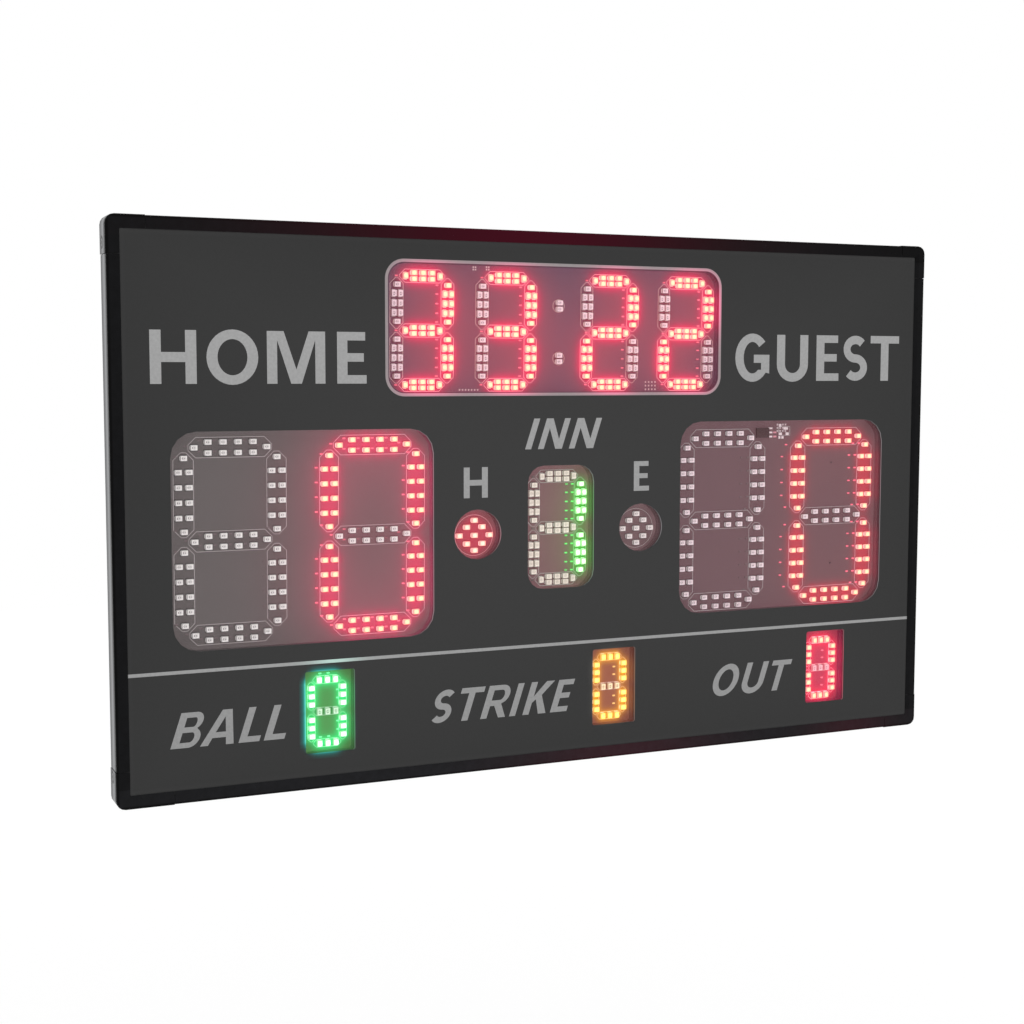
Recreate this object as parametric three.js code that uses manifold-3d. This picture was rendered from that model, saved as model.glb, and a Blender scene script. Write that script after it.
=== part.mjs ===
import * as THREE from 'three';
import { mergeVertices } from 'three/addons/utils/BufferGeometryUtils.js';
import Module from 'manifold-3d';

// Wall-hung electronic scoreboard for baseball and softball, in millimetres.
// +Z is up and the display faces -Y. The back lies in the plane y = 0, against the wall.
// Depths below are counted from the front of the bezel, and insets from the outer edge.

// Whole board
const boardWidth = 500;
const boardHeight = 300;
const boardDepth = 15;
const cornerRadius = 4.5;
const tightestBend = 0.6;
const cornerSteps = 4;
const plateCornerSteps = 1;

// Clearances between seated pieces
const seatGap = 0.2;
const seamGap = 0.3;
const slideGap = 0.3;
const joinOverlap = 0.4;
const cutOverrun = 1;

// Black bezel strips, a face with a stem that drops into the rail
const bezelWidth = 6.8;
const bezelFlat = 4.4;
const bezelThickness = 1.4;
const bezelEdge = 0.9;
const bezelEdgeShare = 0.3;
const lipFront = 0.55;
const lipBack = 0.75;
const stemWidth = 1.4;

// Silver aluminium rails
const railWall = 1.5;
const shelfReach = 9;
const shelfThickness = 1.2;
const ledgeReach = 6;
const ledgeThickness = 1.2;

// Corner caps, which carry tongues that slide into the rails
const capLegHeight = 19.2;
const capLegTopLeft = 19.6;
const capLegTopRight = 17;
const capLegBottomLeft = 29.3;
const capLegBottomRight = 23;
const capProud = 0.3;
const tongueLength = 14;
const tongueWidth = 3.2;

// Front panel, from the outside in
const maskThickness = 0.4;
const panelThickness = 2.4;
const baffleThickness = 3.4;
const wellMargin = 0.5;
const windowSteps = 4;
const sharpWindowSteps = 1;
const dotSides = 24;

// Light-emitting chips and their boards
const chipLength = 3.5;
const chipWidth = 2.8;
const chipHeight = 1.9;
const pcbThickness = 1.6;
const pcbMargin = 5;

// Score digits, which fill the room that the other displays leave.
// Places of the chips along a segment are shares of half its length.
const bigDigitGap = 28.2;
const bigColumns = 4;
const bigPitchShare = 0.3228;
const bigEndShare = 0.7804;
const bigRowSpacing = 5.6;
const bigMargin = 3;
const bigWindowRadius = 13.4;

// Clock and inning digits
const midHalfWidth = 14.75;
const midHalfHeight = 29.35;
const midDigitGap = 20.5;
const midColumns = 3;
const midPitchShare = 0.3535;
const midEndShare = 0.6763;
const midFlatSpacing = 3.3;
const midUprightSpacing = 3.75;
const midMargin = 2.4;
const clockPairGap = 35.1;
const clockWindowRadius = 9.2;
const inningWindowRadius = 9.5;
const colonReach = 14.7;
const colonSpacing = 3.5;

// Ball, strike and out digits, with one row of three chips a segment
const smallHalfWidth = 8.8;
const smallHalfHeight = 17.3;
const smallPitchShare = 0.516;
const smallMargin = 3;
const smallWindowRadius = 0.8;

// Hit and error dots, a diamond of nine chips
const dotReachWide = 9.1;
const dotReachHigh = 8.4;
const dotDiagonal = 4.65;
const dotMargin = 2.95;

// Room between the windows on the face, from the top down and from the sides inwards
const clockTopGap = 19.65;
const clockScoreGap = 18.85;
const scoreCountGap = 15.25;
const countBottomGap = 19.45;
const scoreSideGap = 29.85;
const scoreDotGap = 12.5;
const dotInningGap = 16.85;
const dotDrop = 2.3;
const guestRise = 1.8;
const outRise = 0.8;

// The face and its clock sit a little right of the middle of the frame
const faceShift = 0.3;
const clockShift = 0.35;
const ballShare = -0.2732;
const strikeShare = 0.0692;
const outShare = 0.3626;

// Rear cover with its hanging keyholes
const coverThickness = 1.5;
const keyholeShares = [0.36, 0.38];
const keyholeRadius = 4.5;
const keyholeSlotWidth = 5;
const keyholeSlotLength = 9;
const keyholeSides = 14;

// Pillars between the baffle and the rear cover
const pillarRadius = 3.5;
const pillarSides = 12;
const pillarShares = [[-0.36, 0.3], [0.36, 0.3], [-0.468, -0.05], [0.468, -0.05],
  [-0.096, -0.195], [0.102, -0.195], [-0.2, -0.4], [0.156, -0.4]];

// Low-voltage socket in the bottom rail
const socketShare = -0.11;
const socketDepth = 8.7;
const socketBoreRadius = 2.75;
const socketPinRadius = 1;
const socketPinRecess = 1.6;
const socketWall = 1.1;
const socketStep = 0.4;
const socketBoreLength = 9.5;
const socketLength = 14;
const socketSides = 16;
const bayMargin = 2.5;

// The bottom rail is in three lengths, and the middle one carries the socket and the switch
const portMargin = 12;
const tongueRoot = 6;

// Power slide switch in the bottom rail
const switchShare = -0.06;
const switchLength = 12;
const switchWidth = 6;
const switchHeight = 6.5;
const pocketLength = 9;
const pocketWidth = 3.4;
const pocketHeight = 2.5;
const sliderLength = 4.4;
const knobLength = 2.4;
const knobWidth = 2;

// Circuit boards behind the legends
const controllerSize = [62, 44];
const controllerGap = 4;
const controllerDrop = 11;
const powerSize = [38, 26];
const powerShares = [-0.1, -0.36];
const radioSize = [26, 18];
const radioGap = 9;
const radioRise = 11;
const componentRoot = 0.3;
const buzzerRadius = 12;
const buzzerLength = 5;
const buzzerMouthRadius = 1.5;
const buzzerMouthDepth = 2.6;
const buzzerSides = 20;
const buzzerShares = [0.262, -0.366];
const soundHoleRadius = 1.4;
const soundHoleRing = 5;
const soundHoleCount = 6;
const soundHoleSides = 8;

// Depths that follow from the stack of pieces
const railFront = bezelThickness + seatGap;
const stemStart = railWall + slideGap;
const stemEnd = stemStart + stemWidth;
const maskFront = lipBack + seatGap;
const panelFront = maskFront + maskThickness + seatGap;
const shelfFront = panelFront + panelThickness + seatGap;
const shelfBack = shelfFront + shelfThickness;
const baffleBack = shelfFront + baffleThickness;
const pcbFront = baffleBack + seatGap;
const pcbBack = pcbFront + pcbThickness;
const coverFront = boardDepth - coverThickness;
const ledgeBack = coverFront - seatGap;
const ledgeFront = ledgeBack - ledgeThickness;
const baffleInset = shelfReach + seatGap;

const wasm = await Module();
wasm.setup();

const finishes = {
  silver: { color: 0xa9abad, roughness: 0.38, metalness: 0.9 },
  gloss_black: { color: 0x141416, roughness: 0.25, metalness: 0 },
  panel_grey: { color: 0x3c3d3e, roughness: 0.55, metalness: 0 },
  smoked: { color: 0x55504e, roughness: 0.15, metalness: 0 },
  board: { color: 0x57504c, roughness: 0.6, metalness: 0 },
  circuit: { color: 0x1f5a3a, roughness: 0.5, metalness: 0 },
  black_plastic: { color: 0x1c1c1e, roughness: 0.55, metalness: 0 },
  cover_black: { color: 0x232426, roughness: 0.6, metalness: 0.2 },
  brass: { color: 0xb08d4a, roughness: 0.35, metalness: 0.9 },
};

const group = new THREE.Group();

function place(name, geometry, finish) {
  const mesh = new THREE.Mesh(geometry, new THREE.MeshStandardMaterial(finishes[finish]));
  mesh.name = name;
  group.add(mesh);
}

// Solids for joining and cutting
function toSolid(geometry) {
  const bare = geometry.clone();
  bare.deleteAttribute('normal');
  bare.deleteAttribute('uv');
  const merged = mergeVertices(bare);
  return new wasm.Manifold(new wasm.Mesh({
    numProp: 3,
    vertProperties: Float32Array.from(merged.getAttribute('position').array),
    triVerts: Uint32Array.from(merged.index.array),
  }));
}

function toGeometry(solid) {
  const mesh = solid.getMesh();
  const geometry = new THREE.BufferGeometry();
  geometry.setAttribute('position', new THREE.BufferAttribute(Float32Array.from(mesh.vertProperties), 3));
  geometry.setIndex(Array.from(mesh.triVerts));
  geometry.computeVertexNormals();
  return geometry;
}

// Joins neighbours in pairs, so that long lists stay quick
function joined(solids) {
  let list = solids;
  while (list.length > 1) {
    const next = [];
    for (let i = 0; i < list.length; i += 2) {
      next.push(i + 1 < list.length ? list[i].add(list[i + 1]) : list[i]);
    }
    list = next;
  }
  return list[0];
}

// A box given by its low and high corners: x, depth from the front, and z
function blockGeometry(low, high) {
  const geometry = new THREE.BoxGeometry(high[0] - low[0], high[1] - low[1], high[2] - low[2]);
  geometry.translate((low[0] + high[0]) / 2, (low[1] + high[1]) / 2 - boardDepth, (low[2] + high[2]) / 2);
  return geometry;
}

function block(low, high) {
  return toSolid(blockGeometry(low, high));
}

// A plate in the plane of the board, from an outline in x and z, between two depths
function plateGeometry(shape, front, back) {
  const options = { depth: back - front, bevelEnabled: false, curveSegments: 1 };
  const geometry = new THREE.ExtrudeGeometry(shape, options);
  geometry.rotateX(Math.PI / 2);
  geometry.translate(0, back - boardDepth, 0);
  return geometry;
}

// A rounded rectangle as a plain list of points, counter-clockwise
function roundedPoints(x, z, width, height, radius, steps) {
  const points = [];
  const corners = [[1, 1], [-1, 1], [-1, -1], [1, -1]];
  corners.forEach(([sx, sz], quarter) => {
    const cx = x + sx * (width / 2 - radius);
    const cz = z + sz * (height / 2 - radius);
    for (let i = 0; i <= steps; i++) {
      const angle = (quarter + i / steps) * Math.PI / 2;
      points.push(new THREE.Vector2(cx + radius * Math.cos(angle), cz + radius * Math.sin(angle)));
    }
  });
  return points;
}

function circlePoints(x, z, radius, sides) {
  return Array.from({ length: sides }, (_, i) => {
    const angle = 2 * Math.PI * i / sides;
    return new THREE.Vector2(x + radius * Math.cos(angle), z + radius * Math.sin(angle));
  });
}

// A round piece turned about an axis along the depth, from radius and depth pairs
function turnedAlongDepth(profile, sides, x, z) {
  const geometry = new THREE.LatheGeometry(profile.map(([r, depth]) => new THREE.Vector2(r, depth)), sides);
  geometry.translate(x, -boardDepth, z);
  return geometry;
}

// Sweeps a section of inset and depth pairs through stations that turn an inset into x and z
function sweep(section, stations) {
  const count = section.length;
  const positions = [];
  for (const station of stations) {
    for (const [inset, depth] of section) {
      const [x, z] = station(inset);
      positions.push(x, depth - boardDepth, z);
    }
  }
  const faces = [];
  for (let i = 0; i + 1 < stations.length; i++) {
    for (let j = 0; j < count; j++) {
      const k = (j + 1) % count;
      const [a, b, c, d] = [i * count + j, i * count + k, (i + 1) * count + j, (i + 1) * count + k];
      faces.push([a, b, d], [a, d, c]);
    }
  }
  const last = (stations.length - 1) * count;
  const contour = section.map(([inset, depth]) => new THREE.Vector2(inset, depth));
  for (const [a, b, c] of THREE.ShapeUtils.triangulateShape(contour, [])) {
    faces.push([c, b, a], [last + a, last + b, last + c]);
  }
  return outward(positions, faces);
}

// Turns the faces round if they look inwards
function outward(positions, faces) {
  const vertex = (i) => new THREE.Vector3(positions[3 * i], positions[3 * i + 1], positions[3 * i + 2]);
  let volume = 0;
  for (const [a, b, c] of faces) {
    volume += vertex(a).dot(vertex(b).cross(vertex(c)));
  }
  const geometry = new THREE.BufferGeometry();
  geometry.setAttribute('position', new THREE.Float32BufferAttribute(positions, 3));
  geometry.setIndex((volume < 0 ? faces.map(([a, b, c]) => [c, b, a]) : faces).flat());
  geometry.computeVertexNormals();
  return geometry;
}

// Stations round one corner: a leg along x, the bend, and a leg along z
function cornerStations(sx, sz, legX, legZ) {
  const at = (x, z) => [sx * (boardWidth / 2 - x), sz * (boardHeight / 2 - z)];
  const stations = [(inset) => at(legX, inset)];
  for (let i = 0; i <= cornerSteps; i++) {
    const angle = i / cornerSteps * Math.PI / 2;
    stations.push((inset) => {
      const radius = Math.max(cornerRadius - inset, tightestBend);
      const centre = inset + radius;
      return at(centre - radius * Math.sin(angle), centre - radius * Math.cos(angle));
    });
  }
  stations.push((inset) => at(inset, legZ));
  return stations;
}

const alongX = (side, from, to) => [from, to].map((x) => (inset) => [x, side * (boardHeight / 2 - inset)]);
const alongZ = (side, from, to) => [from, to].map((z) => (inset) => [side * (boardWidth / 2 - inset), z]);

// Sections of the frame
function railSection(outer) {
  return [[outer, railFront], [railWall, railFront], [railWall, shelfFront], [shelfReach, shelfFront],
    [shelfReach, shelfBack], [railWall, shelfBack], [railWall, ledgeFront], [ledgeReach, ledgeFront],
    [ledgeReach, ledgeBack], [railWall, ledgeBack], [railWall, boardDepth], [outer, boardDepth]];
}

function bezelSection(outer) {
  const shoulder = bezelEdge * bezelEdgeShare;
  return [[outer, bezelThickness], [outer, bezelEdge], [outer + shoulder, shoulder], [outer + bezelEdge, 0],
    [bezelFlat, 0], [bezelWidth, lipFront], [bezelWidth, lipBack], [stemEnd, lipBack],
    [stemEnd, shelfFront - seatGap], [stemStart, shelfFront - seatGap], [stemStart, bezelThickness]];
}

function tongueSection(from) {
  const front = shelfBack + slideGap;
  const back = ledgeFront - slideGap;
  const to = railWall + slideGap + tongueWidth;
  return [[from, front], [to, front], [to, back], [from, back]];
}

// Frame: corner caps and their bezels, then the straight lengths between them
const corners = [
  { name: 'top_left', sx: -1, sz: 1, leg: capLegTopLeft },
  { name: 'top_right', sx: 1, sz: 1, leg: capLegTopRight },
  { name: 'bottom_left', sx: -1, sz: -1, leg: capLegBottomLeft },
  { name: 'bottom_right', sx: 1, sz: -1, leg: capLegBottomRight },
];

function addCorner({ name, sx, sz, leg }) {
  const cap = joined([
    toSolid(sweep(railSection(-capProud), cornerStations(sx, sz, leg, capLegHeight))),
    toSolid(sweep(tongueSection(railWall - joinOverlap), cornerStations(sx, sz, leg, capLegHeight))),
    toSolid(sweep(tongueSection(railWall + slideGap),
      cornerStations(sx, sz, leg + tongueLength, capLegHeight + tongueLength))),
  ]);
  place(`corner_cap_${name}`, toGeometry(cap), 'silver');
  const bezel = sweep(bezelSection(-capProud), cornerStations(sx, sz, leg, capLegHeight));
  place(`bezel_corner_${name}`, bezel, 'gloss_black');
}

function spanX(left, right) {
  return [-boardWidth / 2 + left + seamGap, boardWidth / 2 - right - seamGap];
}

function addFrame() {
  corners.forEach(addCorner);
  const top = alongX(1, ...spanX(capLegTopLeft, capLegTopRight));
  const [bottomFrom, bottomTo] = spanX(capLegBottomLeft, capLegBottomRight);
  const bottom = alongX(-1, bottomFrom, bottomTo);
  const reach = boardHeight / 2 - capLegHeight - seamGap;
  const left = alongZ(-1, -reach, reach);
  const right = alongZ(1, -reach, reach);
  place('rail_top', sweep(railSection(0), top), 'silver');
  place('rail_left', sweep(railSection(0), left), 'silver');
  place('rail_right', sweep(railSection(0), right), 'silver');
  place('rail_bottom_left', sweep(railSection(0), alongX(-1, bottomFrom, portLeft - seamGap)), 'silver');
  place('rail_bottom_right', sweep(railSection(0), alongX(-1, portRight + seamGap, bottomTo)), 'silver');
  place('rail_ports', toGeometry(portRail()), 'silver');
  place('bezel_top', sweep(bezelSection(0), top), 'gloss_black');
  place('bezel_left', sweep(bezelSection(0), left), 'gloss_black');
  place('bezel_right', sweep(bezelSection(0), right), 'gloss_black');
  place('bezel_bottom', sweep(bezelSection(0), bottom), 'gloss_black');
}

// Places along the bottom rail
const socketX = socketShare * boardWidth;
const socketRadius = socketBoreRadius + socketWall;
const socketBodyRadius = socketRadius + socketStep;
const switchX = switchShare * boardWidth;
const bottomEdge = -boardHeight / 2;
const sliderTravel = pocketLength - sliderLength - 2 * slideGap;
const portLeft = socketX - socketBodyRadius - portMargin;
const portRight = switchX + switchLength / 2 + portMargin;

// The middle length of the bottom rail, with a tongue at each end that slides into its neighbour
function portRail() {
  const bayHalf = socketBodyRadius + slideGap;
  const hole = turnedUp([[0, -cutOverrun], [socketRadius + seatGap, -cutOverrun],
    [socketRadius + seatGap, railWall + cutOverrun], [0, railWall + cutOverrun]], socketSides);
  const bay = block([socketX - bayHalf, shelfFront - cutOverrun, bottomEdge + railWall],
    [socketX + bayHalf, ledgeBack + cutOverrun, bottomEdge + shelfReach + cutOverrun]);
  const slotHalf = (sliderTravel + knobLength) / 2 + slideGap;
  const slot = block([switchX - slotHalf, socketDepth - knobWidth / 2 - slideGap, bottomEdge - cutOverrun],
    [switchX + slotHalf, socketDepth + knobWidth / 2 + slideGap, bottomEdge + railWall + cutOverrun]);
  const tongues = [[portLeft, 1], [portRight, -1]].flatMap(([end, inwards]) => {
    const root = end + inwards * tongueRoot;
    return [
      toSolid(sweep(tongueSection(railWall - joinOverlap), alongX(-1, end, root))),
      toSolid(sweep(tongueSection(railWall + slideGap), alongX(-1, end - inwards * tongueLength, root))),
    ];
  });
  const rail = toSolid(sweep(railSection(0), alongX(-1, portLeft, portRight)));
  return joined([rail, ...tongues]).subtract(toSolid(hole)).subtract(bay).subtract(slot);
}

// A round piece turned about an upright axis at the socket, from radius and inset pairs
function turnedUp(profile, sides) {
  const geometry = new THREE.LatheGeometry(profile.map(([r, inset]) => new THREE.Vector2(r, inset)), sides);
  geometry.rotateX(Math.PI / 2);
  geometry.translate(socketX, socketDepth - boardDepth, bottomEdge);
  return geometry;
}

function addSocket() {
  const inner = railWall + seatGap;
  const socket = turnedUp([[0, socketPinRecess], [socketPinRadius, socketPinRecess],
    [socketPinRadius, socketBoreLength], [socketBoreRadius, socketBoreLength], [socketBoreRadius, seatGap],
    [socketRadius, seatGap], [socketRadius, inner], [socketBodyRadius, inner],
    [socketBodyRadius, socketLength], [0, socketLength]], socketSides);
  place('dc_socket', socket, 'black_plastic');
}

// Slide switch: a body with a pocket, and a slider whose knob shows through the rail
function addSwitch() {
  const inner = bottomEdge + railWall + seatGap;
  const body = block([switchX - switchLength / 2, socketDepth - switchWidth / 2, inner],
    [switchX + switchLength / 2, socketDepth + switchWidth / 2, inner + switchHeight]);
  const pocket = block([switchX - pocketLength / 2, socketDepth - pocketWidth / 2, inner - cutOverrun],
    [switchX + pocketLength / 2, socketDepth + pocketWidth / 2, inner + pocketHeight]);
  place('switch_body', toGeometry(body.subtract(pocket)), 'black_plastic');
  const sliderX = switchX - sliderTravel / 2;
  const sliderHalf = pocketWidth / 2 - slideGap;
  const plateTop = inner + pocketHeight - slideGap;
  const plate = block([sliderX - sliderLength / 2, socketDepth - sliderHalf, inner],
    [sliderX + sliderLength / 2, socketDepth + sliderHalf, plateTop]);
  const knob = block([sliderX - knobLength / 2, socketDepth - knobWidth / 2, bottomEdge + seatGap],
    [sliderX + knobLength / 2, socketDepth + knobWidth / 2, inner + joinOverlap]);
  place('switch_slider', toGeometry(plate.add(knob)), 'black_plastic');
}

// A place given as shares of the board's width and height
const ofBoard = ([shareX, shareZ]) => [shareX * boardWidth, shareZ * boardHeight];

// Windows, from the digits that they show
const midStep = 2 * midHalfWidth + midDigitGap;
const clockStep = midStep + 2 * midHalfWidth + clockPairGap;
const clockWindow = {
  width: clockStep + midStep + 2 * (midHalfWidth + midMargin) + midUprightSpacing + chipWidth,
  height: 2 * (midHalfHeight + midMargin) + midFlatSpacing + chipWidth,
  radius: clockWindowRadius,
  steps: windowSteps,
};
const inningWindow = {
  width: 2 * (midHalfWidth + midMargin) + midUprightSpacing + chipWidth,
  height: clockWindow.height,
  radius: inningWindowRadius,
  steps: windowSteps,
};
const countWindow = {
  width: 2 * (smallHalfWidth + smallMargin) + chipLength,
  height: 2 * (smallHalfHeight + smallMargin) + chipLength,
  radius: smallWindowRadius,
  steps: sharpWindowSteps,
};
const dotRound = 2 * (dotReachWide + dotMargin) + chipLength;
const dotWindow = { width: dotRound, height: dotRound };

// Rows of windows from the top down, and the room that the score windows fill
const clockZ = boardHeight / 2 - clockTopGap - clockWindow.height / 2;
const countZ = -boardHeight / 2 + countBottomGap + countWindow.height / 2;
const scoreTop = clockZ - clockWindow.height / 2 - clockScoreGap;
const scoreBottom = countZ + countWindow.height / 2 + scoreCountGap;
const scoreZ = (scoreTop + scoreBottom) / 2;
const dotX = inningWindow.width / 2 + dotInningGap + dotRound / 2;
const scoreInner = dotX + dotRound / 2 + scoreDotGap;
const scoreOuter = boardWidth / 2 - scoreSideGap;
const scoreX = (scoreInner + scoreOuter) / 2;
const scoreWindow = {
  width: scoreOuter - scoreInner,
  height: scoreTop - scoreBottom,
  radius: bigWindowRadius,
  steps: windowSteps,
};
const bigMarginToChips = bigMargin + chipLength / 2 + bigRowSpacing / 2;
const bigHalfWidth = (scoreWindow.width - bigDigitGap) / 4 - bigMarginToChips / 2;
const bigHalfHeight = scoreWindow.height / 2 - bigMarginToChips;
const bigStep = 2 * bigHalfWidth + bigDigitGap;

// Seven-segment digits: each chip is an x, a z, and whether it stands upright
function flatSegment(z, reach, spacing, { columns, pitchShare, endShare }) {
  const chips = [];
  for (let i = 0; i < columns; i++) {
    const x = (i - (columns - 1) / 2) * pitchShare * reach;
    chips.push({ x, z: z + spacing / 2, upright: false }, { x, z: z - spacing / 2, upright: false });
  }
  const end = endShare * reach;
  chips.push({ x: -end, z, upright: true }, { x: end, z, upright: true });
  return chips;
}

// An upright segment is a flat one turned by a right angle about its own middle
function uprightSegment(x, z, reach, spacing, style) {
  return flatSegment(0, reach, spacing, style)
    .map((chip) => ({ x: x + chip.z, z: z + chip.x, upright: !chip.upright }));
}

function digit(halfWidth, halfHeight, style) {
  const chips = [halfHeight, 0, -halfHeight]
    .flatMap((z) => flatSegment(z, halfWidth, style.flatSpacing, style));
  for (const x of [-halfWidth, halfWidth]) {
    for (const z of [halfHeight / 2, -halfHeight / 2]) {
      chips.push(...uprightSegment(x, z, halfHeight / 2, style.uprightSpacing, style));
    }
  }
  return chips;
}

// The score digits' chips all lie flat, whichever way their segment runs
const bigDigit = digit(bigHalfWidth, bigHalfHeight, { columns: bigColumns, pitchShare: bigPitchShare,
  endShare: bigEndShare, flatSpacing: bigRowSpacing, uprightSpacing: bigRowSpacing })
  .map((chip) => ({ ...chip, upright: false }));
const midDigit = digit(midHalfWidth, midHalfHeight, { columns: midColumns, pitchShare: midPitchShare,
  endShare: midEndShare, flatSpacing: midFlatSpacing, uprightSpacing: midUprightSpacing });

// The small digits' chips are set across their segment
function smallDigit() {
  const chips = [];
  for (const i of [-1, 0, 1]) {
    for (const z of [smallHalfHeight, 0, -smallHalfHeight]) {
      chips.push({ x: i * smallPitchShare * smallHalfWidth, z, upright: true });
    }
    for (const x of [-smallHalfWidth, smallHalfWidth]) {
      for (const z of [smallHalfHeight / 2, -smallHalfHeight / 2]) {
        chips.push({ x, z: z + i * smallPitchShare * smallHalfHeight / 2, upright: false });
      }
    }
  }
  return chips;
}

function dotChips() {
  const chips = [[0, 0], [dotReachWide, 0], [-dotReachWide, 0], [0, dotReachHigh], [0, -dotReachHigh]];
  for (const sx of [-1, 1]) {
    for (const sz of [-1, 1]) {
      chips.push([sx * dotDiagonal, sz * dotDiagonal]);
    }
  }
  return chips.map(([x, z]) => ({ x, z, upright: false }));
}

function colonChips() {
  return [-1, 1].flatMap((side) => [-1, 1].map((row) => (
    { x: 0, z: side * colonReach + row * colonSpacing / 2, upright: false })));
}

const shifted = (chips, dx) => chips.map((chip) => ({ ...chip, x: chip.x + dx }));
const pair = (chips, step) => [...shifted(chips, -step / 2), ...shifted(chips, step / 2)];

// Displays: their place, their chips and the window that shows them
const score = { z: scoreZ, window: scoreWindow, chips: pair(bigDigit, bigStep) };
const dot = { z: scoreZ - dotDrop, window: dotWindow, chips: dotChips() };
const count = { z: countZ, window: countWindow, chips: smallDigit() };
const clock = {
  z: clockZ,
  window: clockWindow,
  chips: [...pair(pair(midDigit, midStep), clockStep), ...colonChips()],
};

const displays = [
  { name: 'clock_board', x: clockShift, ...clock },
  { name: 'home_score_board', x: faceShift - scoreX, ...score },
  { name: 'guest_score_board', x: faceShift + scoreX, ...score, z: scoreZ + guestRise },
  { name: 'inning_board', x: faceShift, z: scoreZ, window: inningWindow, chips: midDigit },
  { name: 'hit_board', x: faceShift - dotX, ...dot },
  { name: 'error_board', x: faceShift + dotX, ...dot },
  { name: 'ball_board', x: ballShare * boardWidth, ...count },
  { name: 'strike_board', x: strikeShare * boardWidth, ...count },
  { name: 'out_board', x: outShare * boardWidth, ...count, z: countZ + outRise },
];

function addDisplayBoard({ name, x, z, window, chips }) {
  const halfWidth = window.width / 2 + pcbMargin;
  const halfHeight = window.height / 2 + pcbMargin;
  const board = block([x - halfWidth, pcbFront, z - halfHeight], [x + halfWidth, pcbBack, z + halfHeight]);
  const bodies = chips.map((chip) => {
    const wide = (chip.upright ? chipWidth : chipLength) / 2;
    const high = (chip.upright ? chipLength : chipWidth) / 2;
    return block([x + chip.x - wide, pcbFront - chipHeight, z + chip.z - high],
      [x + chip.x + wide, pcbFront + joinOverlap, z + chip.z + high]);
  });
  place(name, toGeometry(joined([board, ...bodies])), 'board');
}

// Flat pieces with one opening for each display
function windowPoints({ x, z, window }, margin) {
  if (window.radius === undefined) {
    return circlePoints(x, z, window.width / 2 + margin, dotSides);
  }
  return roundedPoints(x, z, window.width + 2 * margin, window.height + 2 * margin,
    window.radius + margin, window.steps);
}

function insetPlate(inset, radius, steps) {
  return new THREE.Shape(roundedPoints(0, 0, boardWidth - 2 * inset, boardHeight - 2 * inset, radius, steps));
}

function addFace() {
  const mask = insetPlate(stemEnd + seatGap, tightestBend, plateCornerSteps);
  mask.holes = displays.map((display) => new THREE.Path(windowPoints(display, 0)));
  place('panel_mask', plateGeometry(mask, maskFront, maskFront + maskThickness), 'panel_grey');
  const panel = insetPlate(stemEnd + seatGap, tightestBend, plateCornerSteps);
  place('front_panel', plateGeometry(panel, panelFront, panelFront + panelThickness), 'smoked');
  const baffle = insetPlate(baffleInset, tightestBend, plateCornerSteps);
  baffle.holes = displays.map((display) => new THREE.Path(windowPoints(display, wellMargin)));
  const bayHalf = socketBodyRadius + bayMargin;
  const bay = block([socketX - bayHalf, shelfFront - cutOverrun, bottomEdge],
    [socketX + bayHalf, baffleBack + cutOverrun, bottomEdge + socketLength + bayMargin]);
  const body = toSolid(plateGeometry(baffle, shelfFront, baffleBack)).subtract(bay);
  place('window_baffle', toGeometry(body), 'black_plastic');
}

// A circuit board on the back of the baffle, with parts given as shares of its size and a height
function addCircuitBoard(name, [width, height], [x, z], parts) {
  const board = block([x - width / 2, pcbFront, z - height / 2], [x + width / 2, pcbBack, z + height / 2]);
  const bodies = parts.map(({ atShares, sizeShares, tall }) => {
    const cx = x + atShares[0] * width;
    const cz = z + atShares[1] * height;
    const halfX = sizeShares[0] * width / 2;
    const halfZ = sizeShares[1] * height / 2;
    return block([cx - halfX, pcbBack - componentRoot, cz - halfZ], [cx + halfX, pcbBack + tall, cz + halfZ]);
  });
  place(name, toGeometry(joined([board, ...bodies])), 'circuit');
}

const chipTall = 1.6;
const plugTall = 3.4;
const coilTall = 3;
const shieldTall = 2;

// Half the width of the board behind a window
const boardReach = (window) => window.width / 2 + pcbMargin;

function addCircuitBoards() {
  // Below the home score, left of the ball digit
  const ballLeft = ballShare * boardWidth - boardReach(countWindow);
  const controllerX = ballLeft - controllerGap - controllerSize[0] / 2;
  const controllerZ = scoreBottom - pcbMargin - controllerDrop - controllerSize[1] / 2;
  addCircuitBoard('controller_board', controllerSize, [controllerX, controllerZ], [
    { atShares: [-0.08, 0.02], sizeShares: [0.2, 0.28], tall: chipTall },
    { atShares: [0.24, 0.22], sizeShares: [0.14, 0.13], tall: chipTall },
    { atShares: [0.24, 0], sizeShares: [0.14, 0.13], tall: chipTall },
    { atShares: [0.24, -0.22], sizeShares: [0.14, 0.13], tall: chipTall },
    { atShares: [-0.22, 0.41], sizeShares: [0.4, 0.12], tall: plugTall },
    { atShares: [0.26, 0.41], sizeShares: [0.34, 0.12], tall: plugTall },
    { atShares: [0, -0.41], sizeShares: [0.6, 0.12], tall: plugTall },
    { atShares: [-0.38, -0.08], sizeShares: [0.1, 0.16], tall: coilTall },
  ]);
  addCircuitBoard('power_board', powerSize, ofBoard(powerShares), [
    { atShares: [-0.24, 0.1], sizeShares: [0.28, 0.4], tall: coilTall },
    { atShares: [0.12, 0.16], sizeShares: [0.14, 0.2], tall: chipTall },
    { atShares: [0.36, 0.1], sizeShares: [0.18, 0.3], tall: coilTall },
    { atShares: [0, -0.36], sizeShares: [0.5, 0.18], tall: plugTall },
  ]);
  // Above the guest score, right of the clock
  const radioX = clockShift + boardReach(clockWindow) + radioGap + radioSize[0] / 2;
  const radioZ = scoreTop + pcbMargin + radioRise + radioSize[1] / 2;
  addCircuitBoard('radio_board', radioSize, [radioX, radioZ], [
    { atShares: [-0.1, 0.04], sizeShares: [0.5, 0.6], tall: shieldTall },
    { atShares: [0.38, 0], sizeShares: [0.14, 0.5], tall: plugTall },
  ]);
}

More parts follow.
